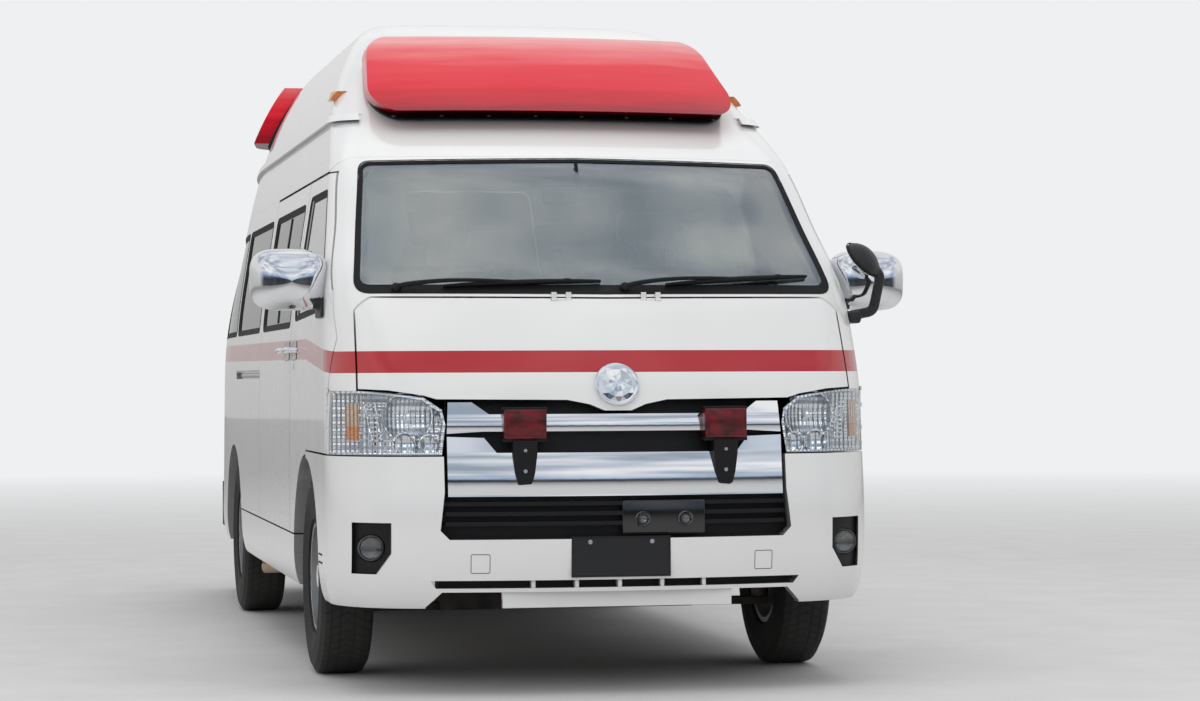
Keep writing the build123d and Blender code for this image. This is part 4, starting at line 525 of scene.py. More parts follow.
seat_cloth = finish("seat cloth", (0.2, 0.21, 0.23), 0.9,
                    tint=((120.0,), (0.35, (0.15, 0.16, 0.18)), (0.65, (0.24, 0.25, 0.27))))
x, y, z = place_of(seat_cloth.node_tree)
(x.wave(2400.0) * (y + z).wave(2400.0)).bump(0.0008, 0.5)
seat_cloth.node_tree.nodes["Principled BSDF"].inputs["Sheen Weight"].default_value = 0.3
bench_vinyl = finish("bench cover", (0.16, 0.24, 0.28), 0.45, grain=(260.0, 0.0012, 0.35),
                     tint=((14.0,), (0.3, (0.13, 0.2, 0.24)), (0.7, (0.19, 0.27, 0.31))))

# %% [markdown]
# Now each node of the frame gets its finish. A table from finish to nodes is easier to
# read and to change than a long list of calls.

# %% Dress the frame
wardrobe = {
    paint: ["bonnet", "front_door_left", "front_door_right", "side_panel_left", "side_panel_right",
            "side_skirts", "sliding_doors", "nose_frame", "high_roof", "tailgate", "front_bumper",
            "drip_rails"],
    glass: ["windscreen", "door_glass_left", "door_glass_right"],
    dark_glass: ["side_glass", "tailgate_glass"],
    bar_plating: ["grille_bars"],
    mirror_shell: ["door_mirror_right", "door_mirror_left"],
    clear_cover: ["headlamps"],
    bright_bowl: ["lamp_bowls"],
    beacon_red: ["front_beacon", "rear_beacons"],
    tail_lens: ["tail_lamps"],
    amber: ["roof_marker_lamps"],
    moulding: ["grille_frame", "fog_lamps", "wipers", "rear_bumper", "steering_wheel"],
    lining_plastic: ["dashboard"],
    rubber: ["beacon_gaskets"],
    floor_rubber: ["floor_pan"],
    underbody: ["chassis_frame", "front_suspension", "rear_axle"],
    cast_iron: ["engine_block", "knuckle_left", "knuckle_right"],
    tanned_steel: ["exhaust_pipe"],
    brushed: ["stretcher_deck", "fuel_tank"],
    seat_cloth: ["front_seats"],
    bench_vinyl: ["attendant_bench"],
    plate_finish: ["number_plate"],
    spare_rubber: ["spare_wheel"],
    rim_silver: ["rim_front_right", "rim_front_left", "rim_rear_right", "rim_rear_left"],
}
wardrobe.update({material: [node] for node, material in tyre_of.items()})
for material, nodes in wardrobe.items():
    for node in nodes:
        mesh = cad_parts[node].data
        mesh.materials.clear()
        mesh.materials.append(material)
for material in (mirror_shell, beacon_red, bar_plating):
    for node in wardrobe[material]:
        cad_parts[node].data.shade_smooth()
        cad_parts[node].data.set_sharp_from_angle(angle=math.radians(42))
print("dressed", sum(len(nodes) for nodes in wardrobe.values()), "of", len(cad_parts))

# %% [markdown]
# ## Small tools for the shapes
# Most trim is one of a few forms: a loop of cross sections (`loft_shape`), a bar along a
# path (`tube_shape`), a turned piece (`turned_shape`), or a soft-edged block
# (`slab_shape`). To lie true on a curved panel, trim asks the panel where it is: `Skin`
# shoots a ray from one side at the nodes that are named and returns the point that it
# meets, lifted along the surface.

# %% Shape tools
def joined(shapes):
    """Several (points, faces) shapes as one."""
    points = []
    faces = []
    for more_points, more_faces in shapes:
        start = len(points)
        points += more_points
        faces += [tuple(start + i for i in face) for face in more_faces]
    return points, faces


def mirrored(shape):
    """The same shape on the other side of the vehicle."""
    points, faces = shape
    return [Vector((-p[0], p[1], p[2])) for p in points], [tuple(reversed(face)) for face in faces]


def piece(name, shape, material, body="body", smooth=True, angle=35):
    """A mesh piece from one shape or a list of shapes, which rides on one body."""
    points, faces = joined(shape) if isinstance(shape, list) else shape
    mesh = bpy.data.meshes.new(name)
    mesh.from_pydata([tuple(point) for point in points], [], faces)
    tidy = bmesh.new()
    tidy.from_mesh(mesh)
    bmesh.ops.recalc_face_normals(tidy, faces=tidy.faces)
    tidy.to_mesh(mesh)
    tidy.free()
    if smooth:
        mesh.shade_smooth()
        mesh.set_sharp_from_angle(angle=math.radians(angle))
    mesh.materials.append(material)
    made = bpy.data.objects.new(name, mesh)
    bpy.context.scene.collection.objects.link(made)
    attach(made, body)
    return made


def on_both(body, *rows, **more):
    """(Name, shape, material) rows on the right, mirrored on the left; "door_" rides on each door."""
    for side, change in (("right", tuple), ("left", mirrored)):
        for name, shape, material in rows:
            shape = joined(shape) if isinstance(shape, list) else shape
            piece(name + "_" + side, change(shape), material, body + side if body == "door_" else body,
                  **more)


def loft_shape(rings, wrap=False):
    """A loft through rings of equal size: a closed loop, or a bar with flat ends."""
    count = len(rings[0])
    last = len(rings) - 1
    faces = []
    for low in range(last + wrap):
        high = (low + 1) % len(rings)
        for i in range(count):
            j = (i + 1) % count
            faces.append((low * count + i, low * count + j, high * count + j, high * count + i))
    if not wrap:
        faces.append(tuple(range(count)))
        faces.append(tuple(last * count + i for i in reversed(range(count))))
    return [point for ring in rings for point in ring], faces


def ring_round(centre, side, up, radius, count, turn=0.0):
    """Points round a circle that is spanned by two directions."""
    angles = [2 * math.pi * i / count + turn for i in range(count)]
    return [centre + radius * (math.cos(a) * side + math.sin(a) * up) for a in angles]


def circle(centre, axis, radius, count=32, turn=0.0):
    """Points round a circle that faces along an axis."""
    axis = Vector(axis).normalized()
    side = axis.cross(Vector((0, 0, 1)))
    if side.length < 0.01:
        side = Vector((1, 0, 0))
    side.normalize()
    return ring_round(Vector(centre), side, side.cross(axis), radius, count, turn)


def turned_shape(profile, centre, axis=(0, 1, 0), count=32, wrap=False):
    """A turned piece from (radius, distance along the axis) steps; wrap leaves it open inside."""
    axis = Vector(axis).normalized()
    return loft_shape([circle(Vector(centre) + axis * along, axis, max(radius, 0.0002), count)
                       for radius, along in profile], wrap)


def tube_shape(path, radius, count=10, closed=False):
    """A round bar along a path; the radius may be a list, one for each point."""
    path = [Vector(point) for point in path]
    radii = radius if isinstance(radius, list) else [radius] * len(path)
    rings = []
    last_side = None
    for i, point in enumerate(path):
        before = path[i - 1] if i or closed else point
        after = path[(i + 1) % len(path)] if i + 1 < len(path) or closed else point
        along = (after - before).normalized()
        if last_side is None:
            side = along.cross(Vector((0, 0, 1)))
            if side.length < 0.1:
                side = along.cross(Vector((0, 1, 0)))
        else:
            side = last_side - along * last_side.dot(along)
        side.normalize()
        last_side = side
        rings.append(ring_round(point, side, side.cross(along), radii[i], count))
    return loft_shape(rings, wrap=closed)


def slab_shape(low, high, edge=0.004, steps=3):
    """A block with rounded edges between two corners."""
    block = bmesh.new()
    bmesh.ops.create_cube(block, size=1.0)
    low = Vector(low)
    high = Vector(high)
    middle = (low + high) / 2
    size = high - low
    for vertex in block.verts:
        vertex.co = Vector((middle[k] + vertex.co[k] * size[k] for k in range(3)))
    bmesh.ops.bevel(block, geom=block.edges[:], offset=edge, segments=steps, profile=0.5, affect="EDGES")
    block.verts.index_update()
    points = [vertex.co.copy() for vertex in block.verts]
    faces = [tuple(v.index for v in face.verts) for face in block.faces]
    block.free()
    return points, faces


def box_line(a0, b0, a1, b1):
    """The four corners of a rectangle."""
    return [(a0, b0), (a1, b0), (a1, b1), (a0, b1)]


def rounded(corners, radius, arc=6, edge=10):
    """Points along an outline with rounded corners; the same number for every outline."""
    count = len(corners)
    legs = []
    for i in range(count):
        here = Vector(corners[i])
        behind = Vector(corners[i - 1]) - here
        back = behind.normalized()
        ahead = (Vector(corners[(i + 1) % count]) - here).normalized()
        half = math.acos(max(-1, min(1, back.dot(ahead)))) / 2
        cut = radius / math.tan(half) if half < math.pi / 2 - 0.02 else 0.0
        cut = min(cut, 0.45 * behind.length)
        legs.append((here, here + back * cut, here + ahead * cut))
    found = []
    for i, (here, start, end) in enumerate(legs):
        for k in range(arc + 1):
            t = k / arc
            found.append((1 - t) ** 2 * start + 2 * t * (1 - t) * here + t * t * end)
        following = legs[(i + 1) % count][1]
        found += [end + (following - end) * (k / edge) for k in range(1, edge)]
    return found


def inset(corners, by):
    """The outline moved inwards by a distance; a negative one moves it outwards."""
    places = [Vector(corner) for corner in corners]
    pairs = [(here, places[(i + 1) % len(places)]) for i, here in enumerate(places)]
    turn = 1 if sum(here.x * after.y - after.x * here.y for here, after in pairs) > 0 else -1
    moved = []
    for i, (here, after) in enumerate(pairs):
        d1 = (here - places[i - 1]).normalized()
        d2 = (after - here).normalized()
        n1 = Vector((-d1.y, d1.x)) * turn
        n2 = Vector((-d2.y, d2.x)) * turn
        moved.append(here + (n1 + n2) / (1 + n1.dot(n2)) * by)
    return moved


class Skin:
    """The outside of some nodes, as seen from one side of the vehicle."""

    STARTS = {
        "front": lambda a, b: (Vector((a, -4, b)), Vector((0, 1, 0))),
        "rear": lambda a, b: (Vector((a, 4, b)), Vector((0, -1, 0))),
        "right": lambda a, b: (Vector((-2, a, b)), Vector((1, 0, 0))),
        "left": lambda a, b: (Vector((2, a, b)), Vector((-1, 0, 0))),
    }

    def __init__(self, side, *nodes):
        points = []
        faces = []
        for node in nodes:
            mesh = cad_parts[node].data
            start = len(points)
            points += [vertex.co.copy() for vertex in mesh.vertices]
            faces += [[start + i for i in polygon.vertices] for polygon in mesh.polygons]
        self.tree = BVHTree.FromPolygons(points, faces)
        self.side = side
        self.depth = 1.5
        self.misses = 0

    def at(self, a, b, lift=0.0):
        """The point of the skin at (a, b), lifted off it; beside the skin, at its nearest depth."""
        start, way = self.STARTS[self.side](a, b)
        place, normal = self.tree.ray_cast(start, way)[:2]
        if place is None:
            self.misses += 1
            near, normal = self.tree.find_nearest(start + way * self.depth)[:2]
            place = start + way * (near - start).dot(way)
        self.depth = (place - start).dot(way)
        if normal.dot(way) > 0:
            normal = -normal
        return place + normal * lift

    def ring(self, outline, lift=0.0):
        """A whole outline laid on the skin."""
        return [self.at(point[0], point[1], lift) for point in outline]


print("shape tools ready")

# %% [markdown]
# ## Window seals
# Every fixed pane sits in a black rubber seal, and inside that its rim is printed black.
# Both together are one band: its outer line lies on the painted panel and its inner line
# on the glass. The outlines have the same number of points, so joining them point by
# point gives a clean strip whatever the curve of the body.

# %% Seals round every window
def seal(name, side, panels, pane, corners, radius, reach, body="body", inner=None):
    """A band from the panel's edge to a line on the glass."""
    over = 0.003
    panel = Skin(side, *panels)
    glass_skin = Skin(side, pane)
    outer_line = rounded(inset(corners, -over), radius + over)
    lip_line = rounded(inset(corners, 0.004), radius)
    glass_line = rounded(inset(corners, 0.014), max(radius - 0.012, 0.02))
    inner_line = rounded(inner or inset(corners, reach), max(radius - 0.5 * reach, 0.02))
    rings = [skin.ring(line, lift) for skin, line, lift in (
        (panel, outer_line, 0.0004), (panel, outer_line, 0.0016), (glass_skin, lip_line, 0.006),
        (glass_skin, glass_line, 0.0022), (glass_skin, inner_line, 0.0010),
        (glass_skin, inner_line, 0.0002), (glass_skin, glass_line, 0.0002))]
    piece(name, loft_shape(rings, wrap=True), rubber, body)


SIDES = ("right", "left")
SCREEN = [(-0.842, 1.346), (-0.760, 1.828), (0, 1.837), (0.760, 1.828), (0.842, 1.346), (0, 1.340)]
SCREEN_INNER = [(-0.819, 1.374), (-0.746, 1.817), (0, 1.827), (0.746, 1.817), (0.819, 1.374), (0, 1.370)]
DOOR_PANE = [(-2.237, 1.295), (-1.300, 1.270), (-1.300, 1.730), (-1.824, 1.730)]
SLIDE_PANE = box_line(-1.129, 1.25, -0.019, 1.715)
QUARTER_PANES = [box_line(0.146, 1.25, 1.2105, 1.715), box_line(1.2905, 1.25, 2.355, 1.715)]
GATE_PANE = [(-0.62, 1.23), (0.62, 1.23), (0.54, 1.80), (-0.54, 1.80)]
seal("windscreen_seal", "front", ["nose_frame", "high_roof"], "windscreen", SCREEN, 0.045, 0.03,
     inner=SCREEN_INNER)
for side in SIDES:
    seal("door_window_seal_" + side, side, ["front_door_" + side], "door_glass_" + side, DOOR_PANE,
         0.045, 0.024, "door_" + side)
    seal("sliding_window_seal_" + side, side, ["sliding_doors"], "side_glass", SLIDE_PANE, 0.045, 0.022)
    for number, pane in enumerate(QUARTER_PANES, 1):
        seal("quarter_window_seal_%s_%d" % (side, number), side, ["side_panel_" + side], "side_glass",
             pane, 0.045, 0.022)
seal("tailgate_window_seal", "rear", ["tailgate"], "tailgate_glass", GATE_PANE, 0.06, 0.036, "tailgate")
print("seals:", sum("seal" in made.name for made in bpy.data.meshes))

# %% [markdown]
# Each sliding window has a bar down its middle and each front door a dark post at the rear
# of its glass. They are narrow strips on the pane.

# %% Window bars
def strip_on(skin, path, width, height):
    """A flat bar that follows a path over a skin, with its long sides rounded off."""
    edges = ((-1, -0.001), (-1, 0.5 * height), (-0.75, height), (0.75, height), (1, 0.5 * height),
             (1, -0.001))
    rings = []
    for i, (a, b) in enumerate(path):
        along = (Vector(path[min(i + 1, len(path) - 1)]) - Vector(path[max(i - 1, 0)])).normalized()
        across = Vector((-along.y, along.x)) * (width / 2)
        rings.append([skin.at(a + across.x * share, b + across.y * share, lift) for share, lift in edges])
    return loft_shape(rings)


for side in SIDES:
    bar = strip_on(Skin(side, "side_glass"), [(-0.575, 1.275 + 0.0415 * k) for k in range(11)], 0.03, 0.005)
    piece("sliding_window_bar_" + side, bar, gloss_black)
    post = strip_on(Skin(side, "door_glass_" + side), [(-1.345, 1.29 + 0.0425 * k) for k in range(11)], 0.05,
                    0.004)
    piece("door_window_post_" + side, post, gloss_black, "door_" + side)
print("window bars: 4")

# %% [markdown]
# ## Wipers
# A wiper is a sprung arm from a pivot under the windscreen and a blade that it presses on
# the glass. The blade's backbone bows, so it is a tube whose radius grows to its middle,
# and a thin rubber lip stands between it and the glass. Together they stand for the
# plain bars of the frame.

# %% Wiper arms and blades
screen = Skin("front", "windscreen")


def wiper_shapes(pivot, tip, start):
    """One wiper from its pivot to the blade's two ends, in the front view."""
    pivot, tip, start = Vector(pivot), Vector(tip), Vector(start)
    foot = screen.at(*pivot, 0.004)
    normal = screen.at(*pivot, 0.1) - foot
    shapes = [turned_shape([(0.017, 0), (0.017, 0.012), (0.012, 0.019), (0.0, 0.02)], foot, normal, 20)]
    middle = start + (tip - start) * 0.5
    arm = []
    for t in [k / 12 for k in range(13)]:
        x, z = pivot + (middle - pivot) * t
        arm.append(screen.at(x, z + 0.004 * math.sin(math.pi * t),
                             0.017 + 0.014 * math.sin(math.pi * t ** 0.7)))
    shapes.append(tube_shape(arm, [0.0085 - 0.0035 * k / 12 for k in range(13)], 8))
    shares = [k / 24 for k in range(25)]
    places = [start + (tip - start) * t for t in shares]
    blade = [screen.at(*place, 0.011 + 0.006 * math.sin(math.pi * t)) for place, t in zip(places, shares)]
    shapes.append(tube_shape(blade, [0.0035 + 0.0045 * math.sin(math.pi * t) ** 0.7 for t in shares], 8))
    lip_edges = ((-0.0028, 0.011), (0.0028, 0.011), (0.0008, 0.0012), (-0.0008, 0.0012))
    shapes.append(loft_shape([[screen.at(x, z + rise, lift) for rise, lift in lip_edges] for x, z in places]))
    for share in (0.22, 0.5, 0.78):
        knob = screen.at(*(start + (tip - start) * share), 0.015)
        shapes.append(turned_shape([(0.0, -0.012), (0.009, -0.01), (0.009, 0.01), (0.0, 0.012)],
                                   knob, (1, 0, 0.05), 12))
    return shapes


wiper_set = piece("wiper_set", wiper_shapes((-0.700, 1.356), (-0.010, 1.378), (-0.545, 1.362))
                  + wiper_shapes((0.070, 1.356), (0.752, 1.400), (0.215, 1.366)), moulding)
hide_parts("wipers")
print("wiper points:", len(wiper_set.data.vertices))

# %% [markdown]
# ## The grille
# Between the headlamps two plated bars cross the dark grille. The frame cuts them with
# sharp edges; a bevel rounds them over so that each edge catches one bright line. The
# beacons are softened in the same way. The door mirrors are remeshed and relaxed, which
# turns their faceted housings into smooth ones.

# %% Rounded edges
for node, width, steps in (("grille_bars", 0.002, 2), ("front_beacon", 0.026, 5), ("rear_beacons", 0.022, 5),
                           ("number_plate", 0.002, 2)):
    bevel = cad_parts[node].modifiers.new("rounded edges", "BEVEL")
    bevel.width = width
    bevel.segments = steps
    bevel.limit_method = "ANGLE"
    bevel.angle_limit = math.radians(30)
    bevel.harden_normals = True
for node in wardrobe[mirror_shell]:
    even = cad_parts[node].modifiers.new("even squares", "REMESH")
    even.mode = "VOXEL"
    even.voxel_size = 0.0045
    even.use_smooth_shade = True
    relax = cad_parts[node].modifiers.new("relax", "SMOOTH")
    relax.factor = 0.6
    relax.iterations = 22
print("softened: 6 nodes")

# %% [markdown]
# The badge at the foot of the bonnet is a plain silver disc cut in facets like a gem. Its
# rim is turned, and the facets are a low cone whose rings step in and out in turn.

# %% Badge
bonnet_skin = Skin("front", "bonnet")
badge_rise = (bonnet_skin.at(0, 1.095) - bonnet_skin.at(0, 0.965)).normalized()
badge_way = Vector((0, -badge_rise.z, badge_rise.y))
badge_foot = bonnet_skin.at(0, 1.03) + badge_way * 0.004
piece("badge_rim", turned_shape([(0.070, -0.012), (0.075, 0.002), (0.075, 0.007), (0.0725, 0.0095),
                                 (0.0695, 0.0085)],
                                badge_foot, badge_way, 48), chrome, "bonnet")
FACETS = 12
FACET_ROWS = [(0.0695, 0.006, 0.0), (0.050, 0.0145, 0.5), (0.030, 0.0105, 0.0), (0.012, 0.0165, 0.5)]
facet_points = []
for radius, height, turn in FACET_ROWS:
    facet_points += circle(badge_foot + badge_way * height, badge_way, radius, FACETS, turn * math.pi / 6)
facet_points.append(badge_foot + badge_way * 0.0145)
facets = []
for r in range(len(FACET_ROWS) - 1):
    for i in range(FACETS):
        j = (i + 1) % FACETS
        a, b, c, d = r * FACETS + i, r * FACETS + j, (r + 1) * FACETS + i, (r + 1) * FACETS + j
        turned_ahead = FACET_ROWS[r][2] < FACET_ROWS[r + 1][2]
        facets += [(a, b, c), (b, d, c)] if turned_ahead else [(a, b, d), (a, d, c)]
top = (len(FACET_ROWS) - 1) * FACETS
facets += [(top + i, top + (i + 1) % FACETS, len(facet_points) - 1) for i in range(FACETS)]
piece("badge_facets", (facet_points, facets), chrome, "bonnet", smooth=False)
print("badge facets:", len(facets))

# %% [markdown]
# Two red warning lamps are bolted through the grille on black stalks. Each is a box of
# red plastic with a clear edge, a dark hood above it and a tapering foot below. They stand
# in front of the plated bars, so each one is measured from the bar's own skin.

# %% Red lamps in the grille
bars_skin = Skin("front", "grille_bars", "grille_frame")
grille_face = min(bars_skin.at(x / 1000, 0.9).y for x in range(240, 400, 10))
print("grille face at the lamps:", round(grille_face, 4))
lamp_face = max(grille_face - 0.034, cad_low[1] + 0.001)
back = grille_face + 0.03
for name, middle in (("right", -0.318), ("left", 0.365)):
    def block(half, front, low, rear, high, edge):
        """A block of the lamp: half its width, then from front and low to rear and high."""
        return slab_shape((middle - half, lamp_face + front, low), (middle + half, rear, high), edge)

    piece("grille_lamp_lens_" + name, [block(0.072, 0.004, 0.852, back, 0.950, 0.006),
                                       block(0.060, 0.0, 0.862, lamp_face + 0.01, 0.940, 0.004)], warning_red)
    piece("grille_lamp_hood_" + name, [block(0.075, 0.012, 0.946, back, 0.957, 0.003),
                                       block(0.075, 0.012, 0.842, back, 0.854, 0.003),
                                       block(0.02, 0.006, 0.876, lamp_face + 0.0105, 0.926, 0.002)], moulding)
    rings = []
    for z, half, front in ((0.846, 0.042, 0.004), (0.80, 0.041, 0.008), (0.74, 0.034, 0.010),
                           (0.702, 0.025, 0.012)):
        outline = rounded(box_line(middle - half, lamp_face + front, middle + half, back), 0.006, 3, 2)
        rings.append([Vector((p[0], p[1], z)) for p in outline])
    rings.append([Vector((p.x * 0.6 + middle * 0.4, p.y * 0.8 + back * 0.2, 0.694)) for p in rings[-1]])
    piece("grille_lamp_foot_" + name, loft_shape(rings), moulding)
    piece("grille_lamp_bolts_" + name, [turned_shape([(0.007, 0), (0.007, 0.003), (0.004, 0.004),
                                                      (0.0, 0.004)],
                                                     (middle, lamp_face + 0.010, z), (0, -1, 0), 6)
                                        for z in (0.815, 0.745)], trim_grey, smooth=False)

# %% [markdown]
# The lower grille holds two small round lamps in one dark box. The slot under the number
# plate is crossed by short ribs in body colour over a dark sheet, which is painted shade for
# the inside of the slot, and the towing eyes hide behind two small square covers, of which
# only the outline shows. Each end of the bumper has two short dark lines. The blank plate has
# a rim and two screws.

# %% Small lamps, ribs, covers and plate
slats_skin = Skin("front", "grille_frame")
slat_face = min(slats_skin.at(x / 100, 0.597).y for x in range(2, 30, 4))
piece("small_lamp_box", slab_shape((0.008, slat_face - 0.004, 0.532), (0.292, slat_face + 0.03, 0.648),
                                   0.008),
      gloss_black)
small_lamps = [(x, slat_face - 0.004, 0.583) for x in (0.077, 0.223)]
piece("small_lamp_rings", [turned_shape([(0.0, 0.002), (0.026, 0.002), (0.026, -0.005), (0.023, -0.008),
                                         (0.020, -0.005), (0.014, -0.001), (0.0, 0.0)], centre, count=28)
                           for centre in small_lamps], dark_bowl)
piece("small_lamp_lenses", [turned_shape([(0.0, 0.0), (0.019, 0.0), (0.019, -0.004), (0.014, -0.008),
                                          (0.007, -0.010), (0.0, -0.0105)], centre, count=28)
                            for centre in small_lamps], clear_cover)

bumper_skin = Skin("front", "front_bumper")
shapes = []
for x in (-0.290, -0.145, 0.0, 0.145, 0.290):
    face = bumper_skin.at(x, 0.352).y
    shapes.append(slab_shape((x - 0.007, face + 0.003, 0.350), (x + 0.007, face + 0.05, 0.398), 0.003))
piece("slot_ribs", shapes, paint)
# painted shade: a dark sheet behind the ribs stands for the shade inside the slot
rings = []
for x in [-0.596 + 1.192 * k / 24 for k in range(25)]:
    face = bumper_skin.at(x, 0.352).y
    rings.append([Vector((x, face + depth, z)) for depth, z in ((0.044, 0.3585), (0.044, 0.3835),
                                                                (0.049, 0.3835), (0.049, 0.3585))])
piece("slot_backing", loft_shape(rings), moulding)


def outline_on(skin, corners, radius, thickness):
    """A thin line that follows an outline on a skin."""
    return tube_shape(skin.ring(rounded(corners, radius, 4, 6)), thickness, 6, True)


def screws_at(places, way, rim=0.0012, top=0.0018, count=16):
    """Screw heads at some places, with the height of their rim and their top."""
    return [turned_shape([(0.0075, -0.001), (0.0075, rim), (0.005, top), (0.0, top)], place, way, count)
            for place in places]


piece("tow_cover_lines", [outline_on(bumper_skin, box_line(x - 0.031, 0.409, x + 0.031, 0.471), 0.006, 0.0011)
                          for x in (-0.4675, 0.4975)], moulding)
for side in SIDES:
    end_skin = Skin(side, "front_bumper")
    for number, z in enumerate((0.452, 0.424), 1):
        piece("bumper_end_line_%s_%d" % (side, number),
              strip_on(end_skin, [(-2.30 + 0.0125 * k, z) for k in range(9)], 0.007, 0.0015), moulding)

low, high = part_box("number_plate")
print("plate:", [round(v, 3) for v in low], [round(v, 3) for v in high])
PLATE_EDGE = 0.004
plate_line = box_line(low[0] + PLATE_EDGE, low[2] + PLATE_EDGE, high[0] - PLATE_EDGE, high[2] - PLATE_EDGE)
piece("plate_rim", outline_on(Skin("front", "number_plate"), plate_line, 0.008, 0.0022), plate_finish)
piece("plate_screws", screws_at([(x, low[1], high[2] - 0.018) for x in (-0.105, 0.105)], (0, -1, 0)),
      trim_grey)

# %% [markdown]
# ## Inside the headlamps
# Behind its clear cover a headlamp holds several lamps: a large round reflector high up,
# two small projectors below it, an amber turn lamp at the outer edge and a column of
# bright fins between them. Each one is set back from the cover by asking the cover's skin
# for its depth at the lamp's own rim, so that nothing pokes through the clear plastic.

# %% Lamps behind the covers
cover_skin = Skin("front", "headlamps")


def depth_behind(x, z, radius, room=0.016):
    """The Y at which a disc of this radius clears the cover."""
    angles = [math.pi * k / 6 for k in range(12)]
    return max(cover_skin.at(x + radius * math.cos(a), z + radius * math.sin(a)).y for a in angles) + room


big_lamp = (-0.691, depth_behind(-0.691, 0.925, 0.080), 0.925)
projectors = [((-0.705, depth_behind(-0.705, 0.834, 0.036), 0.834), 0.037),
              ((-0.626, depth_behind(-0.626, 0.832, 0.032), 0.832), 0.033)]
print("lamp depths:", round(big_lamp[1], 3), [round(place[1], 3) for place, radius in projectors],
      "misses", cover_skin.misses)
reflectors = [
    turned_shape([(0.0, 0.056), (0.05, 0.052), (0.084, 0.024), (0.087, 0.0), (0.085, -0.005), (0.080, -0.003),
                  (0.076, 0.006), (0.066, 0.020), (0.052, 0.032), (0.036, 0.041), (0.018, 0.046),
                  (0.0, 0.046)],
                 big_lamp, count=48),
    turned_shape([(0.0, 0.010), (0.011, 0.010), (0.012, 0.014), (0.012, 0.05), (0.0, 0.05)], big_lamp,
                 count=20),
]
lenses = []
for place, radius in projectors:
    reflectors.append(turned_shape([(radius, 0.014), (radius + 0.005, 0.010), (radius + 0.005, -0.002),
                                    (radius, -0.006), (radius - 0.005, -0.002), (radius - 0.006, 0.010)],
                                   place, count=36, wrap=True))
    reflectors.append(turned_shape([(0.0, 0.03), (radius - 0.004, 0.024), (radius - 0.004, 0.016),
                                    (0.0, 0.02)],
                                   place, count=28))
    clear = radius - 0.005
    lenses.append(turned_shape([(0.0, 0.012), (clear, 0.010), (clear, 0.002), (clear * 0.9, -0.005),
                                (clear * 0.66, -0.011), (clear * 0.34, -0.0145), (0.0, -0.0155)], place))
for t in [k / 8 for k in range(9)]:
    x = -0.813 + 0.026 * t
    z = 0.966 - 0.118 * t
    y = cover_skin.at(x, z).y + 0.020
    reflectors.append(slab_shape((x - 0.016, y, z - 0.0035), (x + 0.016, y + 0.028, z + 0.0035), 0.0016, 2))
for x0, dx, z0 in ((-0.829, 0.003, 0.975), (-0.797, 0.0025, 0.972)):
    edge = [(x0 + dx * k, z0 - 0.0165 * k) for k in range(9)]
    reflectors.append(tube_shape([(x, cover_skin.at(x, z).y + 0.022, z) for x, z in edge], 0.004, 8))
turn_rings = []
for z in [0.848 + 0.0112 * k for k in range(12)]:
    turn_rings.append([Vector((x, cover_skin.at(x, z).y + 0.013, z))
                       for x in (-0.846, -0.856, -0.866, -0.876, -0.884)]
                      + [Vector((x, cover_skin.at(x, z).y + 0.03, z)) for x in (-0.884, -0.866, -0.846)])
on_both("body", ("headlamp_reflectors", reflectors, bright_bowl),
        ("headlamp_projectors", lenses, clear_cover), ("headlamp_turn", loft_shape(turn_rings), pale_amber))

# %% [markdown]
# A fog lamp sits at the bottom of a round dish in the bumper. The frame has the dish and
# the lamp's drum, and here it gets its bright rim and a clear domed lens.

# %% Fog lamp lenses
fog_rims = []
fog_domes = []
for x in (-0.815, 0.815):
    place = (x, -2.6225, 0.491)
    fog_rims.append(turned_shape([(0.0435, 0.004), (0.0445, 0.0), (0.043, -0.004), (0.038, -0.004),
                                  (0.036, 0.001), (0.038, 0.004)], place, count=36, wrap=True))
    fog_rims.append(turned_shape([(0.0, 0.0005), (0.036, 0.0005), (0.036, -0.001), (0.022, 0.0), (0.0, 0.0)],
                                 place, count=28))
    fog_domes.append(turned_shape([(0.0, -0.002), (0.037, -0.002), (0.035, -0.006), (0.026, -0.0105),
                                   (0.013, -0.0135), (0.0, -0.0145)], place))
piece("fog_lamp_rims", fog_rims, dark_bowl)
piece("fog_lamp_lenses", fog_domes, clear_cover)
print("fog lamps:", len(fog_domes))

# %% [markdown]
# ## Roof and mirrors
# The front beacon is held down by a row of small screws in its gasket.

# %% Beacon screws
gasket_skin = Skin("front", "beacon_gaskets")
screws = []
for x in [-0.60 + k * 1.2 / 7 for k in range(8)]:
    foot = gasket_skin.at(x, 2.0135)
    screws += screws_at([foot], gasket_skin.at(x, 2.0135, 0.1) - foot, 0.0015, 0.003, 12)
piece("beacon_screws", screws, trim_grey)
print("beacon screws:", len(screws))

# %% [markdown]
# Each door mirror gets a smooth plated shell, whose cross section is a squared-off oval
# that closes towards the front. Its glass faces the rear, with a narrow black rim round
# it. The left door carries a small round mirror as well, as a disc in a turned band.

# %% Mirror shells and glass
MIRROR_OUTLINE = [(-0.126, -0.062), (-0.126, 0.050), (-0.072, 0.097), (0.042, 0.097), (0.110, 0.050),
                  (0.126, -0.052), (0.104, -0.092), (0.0, -0.098), (-0.098, -0.088)]
MIRROR_X, MIRROR_FACE, MIRROR_Z = -1.037, -2.1188, 1.400
outer_line = rounded(inset(MIRROR_OUTLINE, 0.008), 0.028, 5, 3)
rim_line = rounded(inset(MIRROR_OUTLINE, 0.018), 0.022, 5, 3)


def at_mirror(*lines):
    """Rings round the mirror's middle from (outline, distance behind its face) pairs."""
    return [[Vector((MIRROR_X + p[0], MIRROR_FACE + along, MIRROR_Z + p[1])) for p in outline]
            for outline, along in lines]


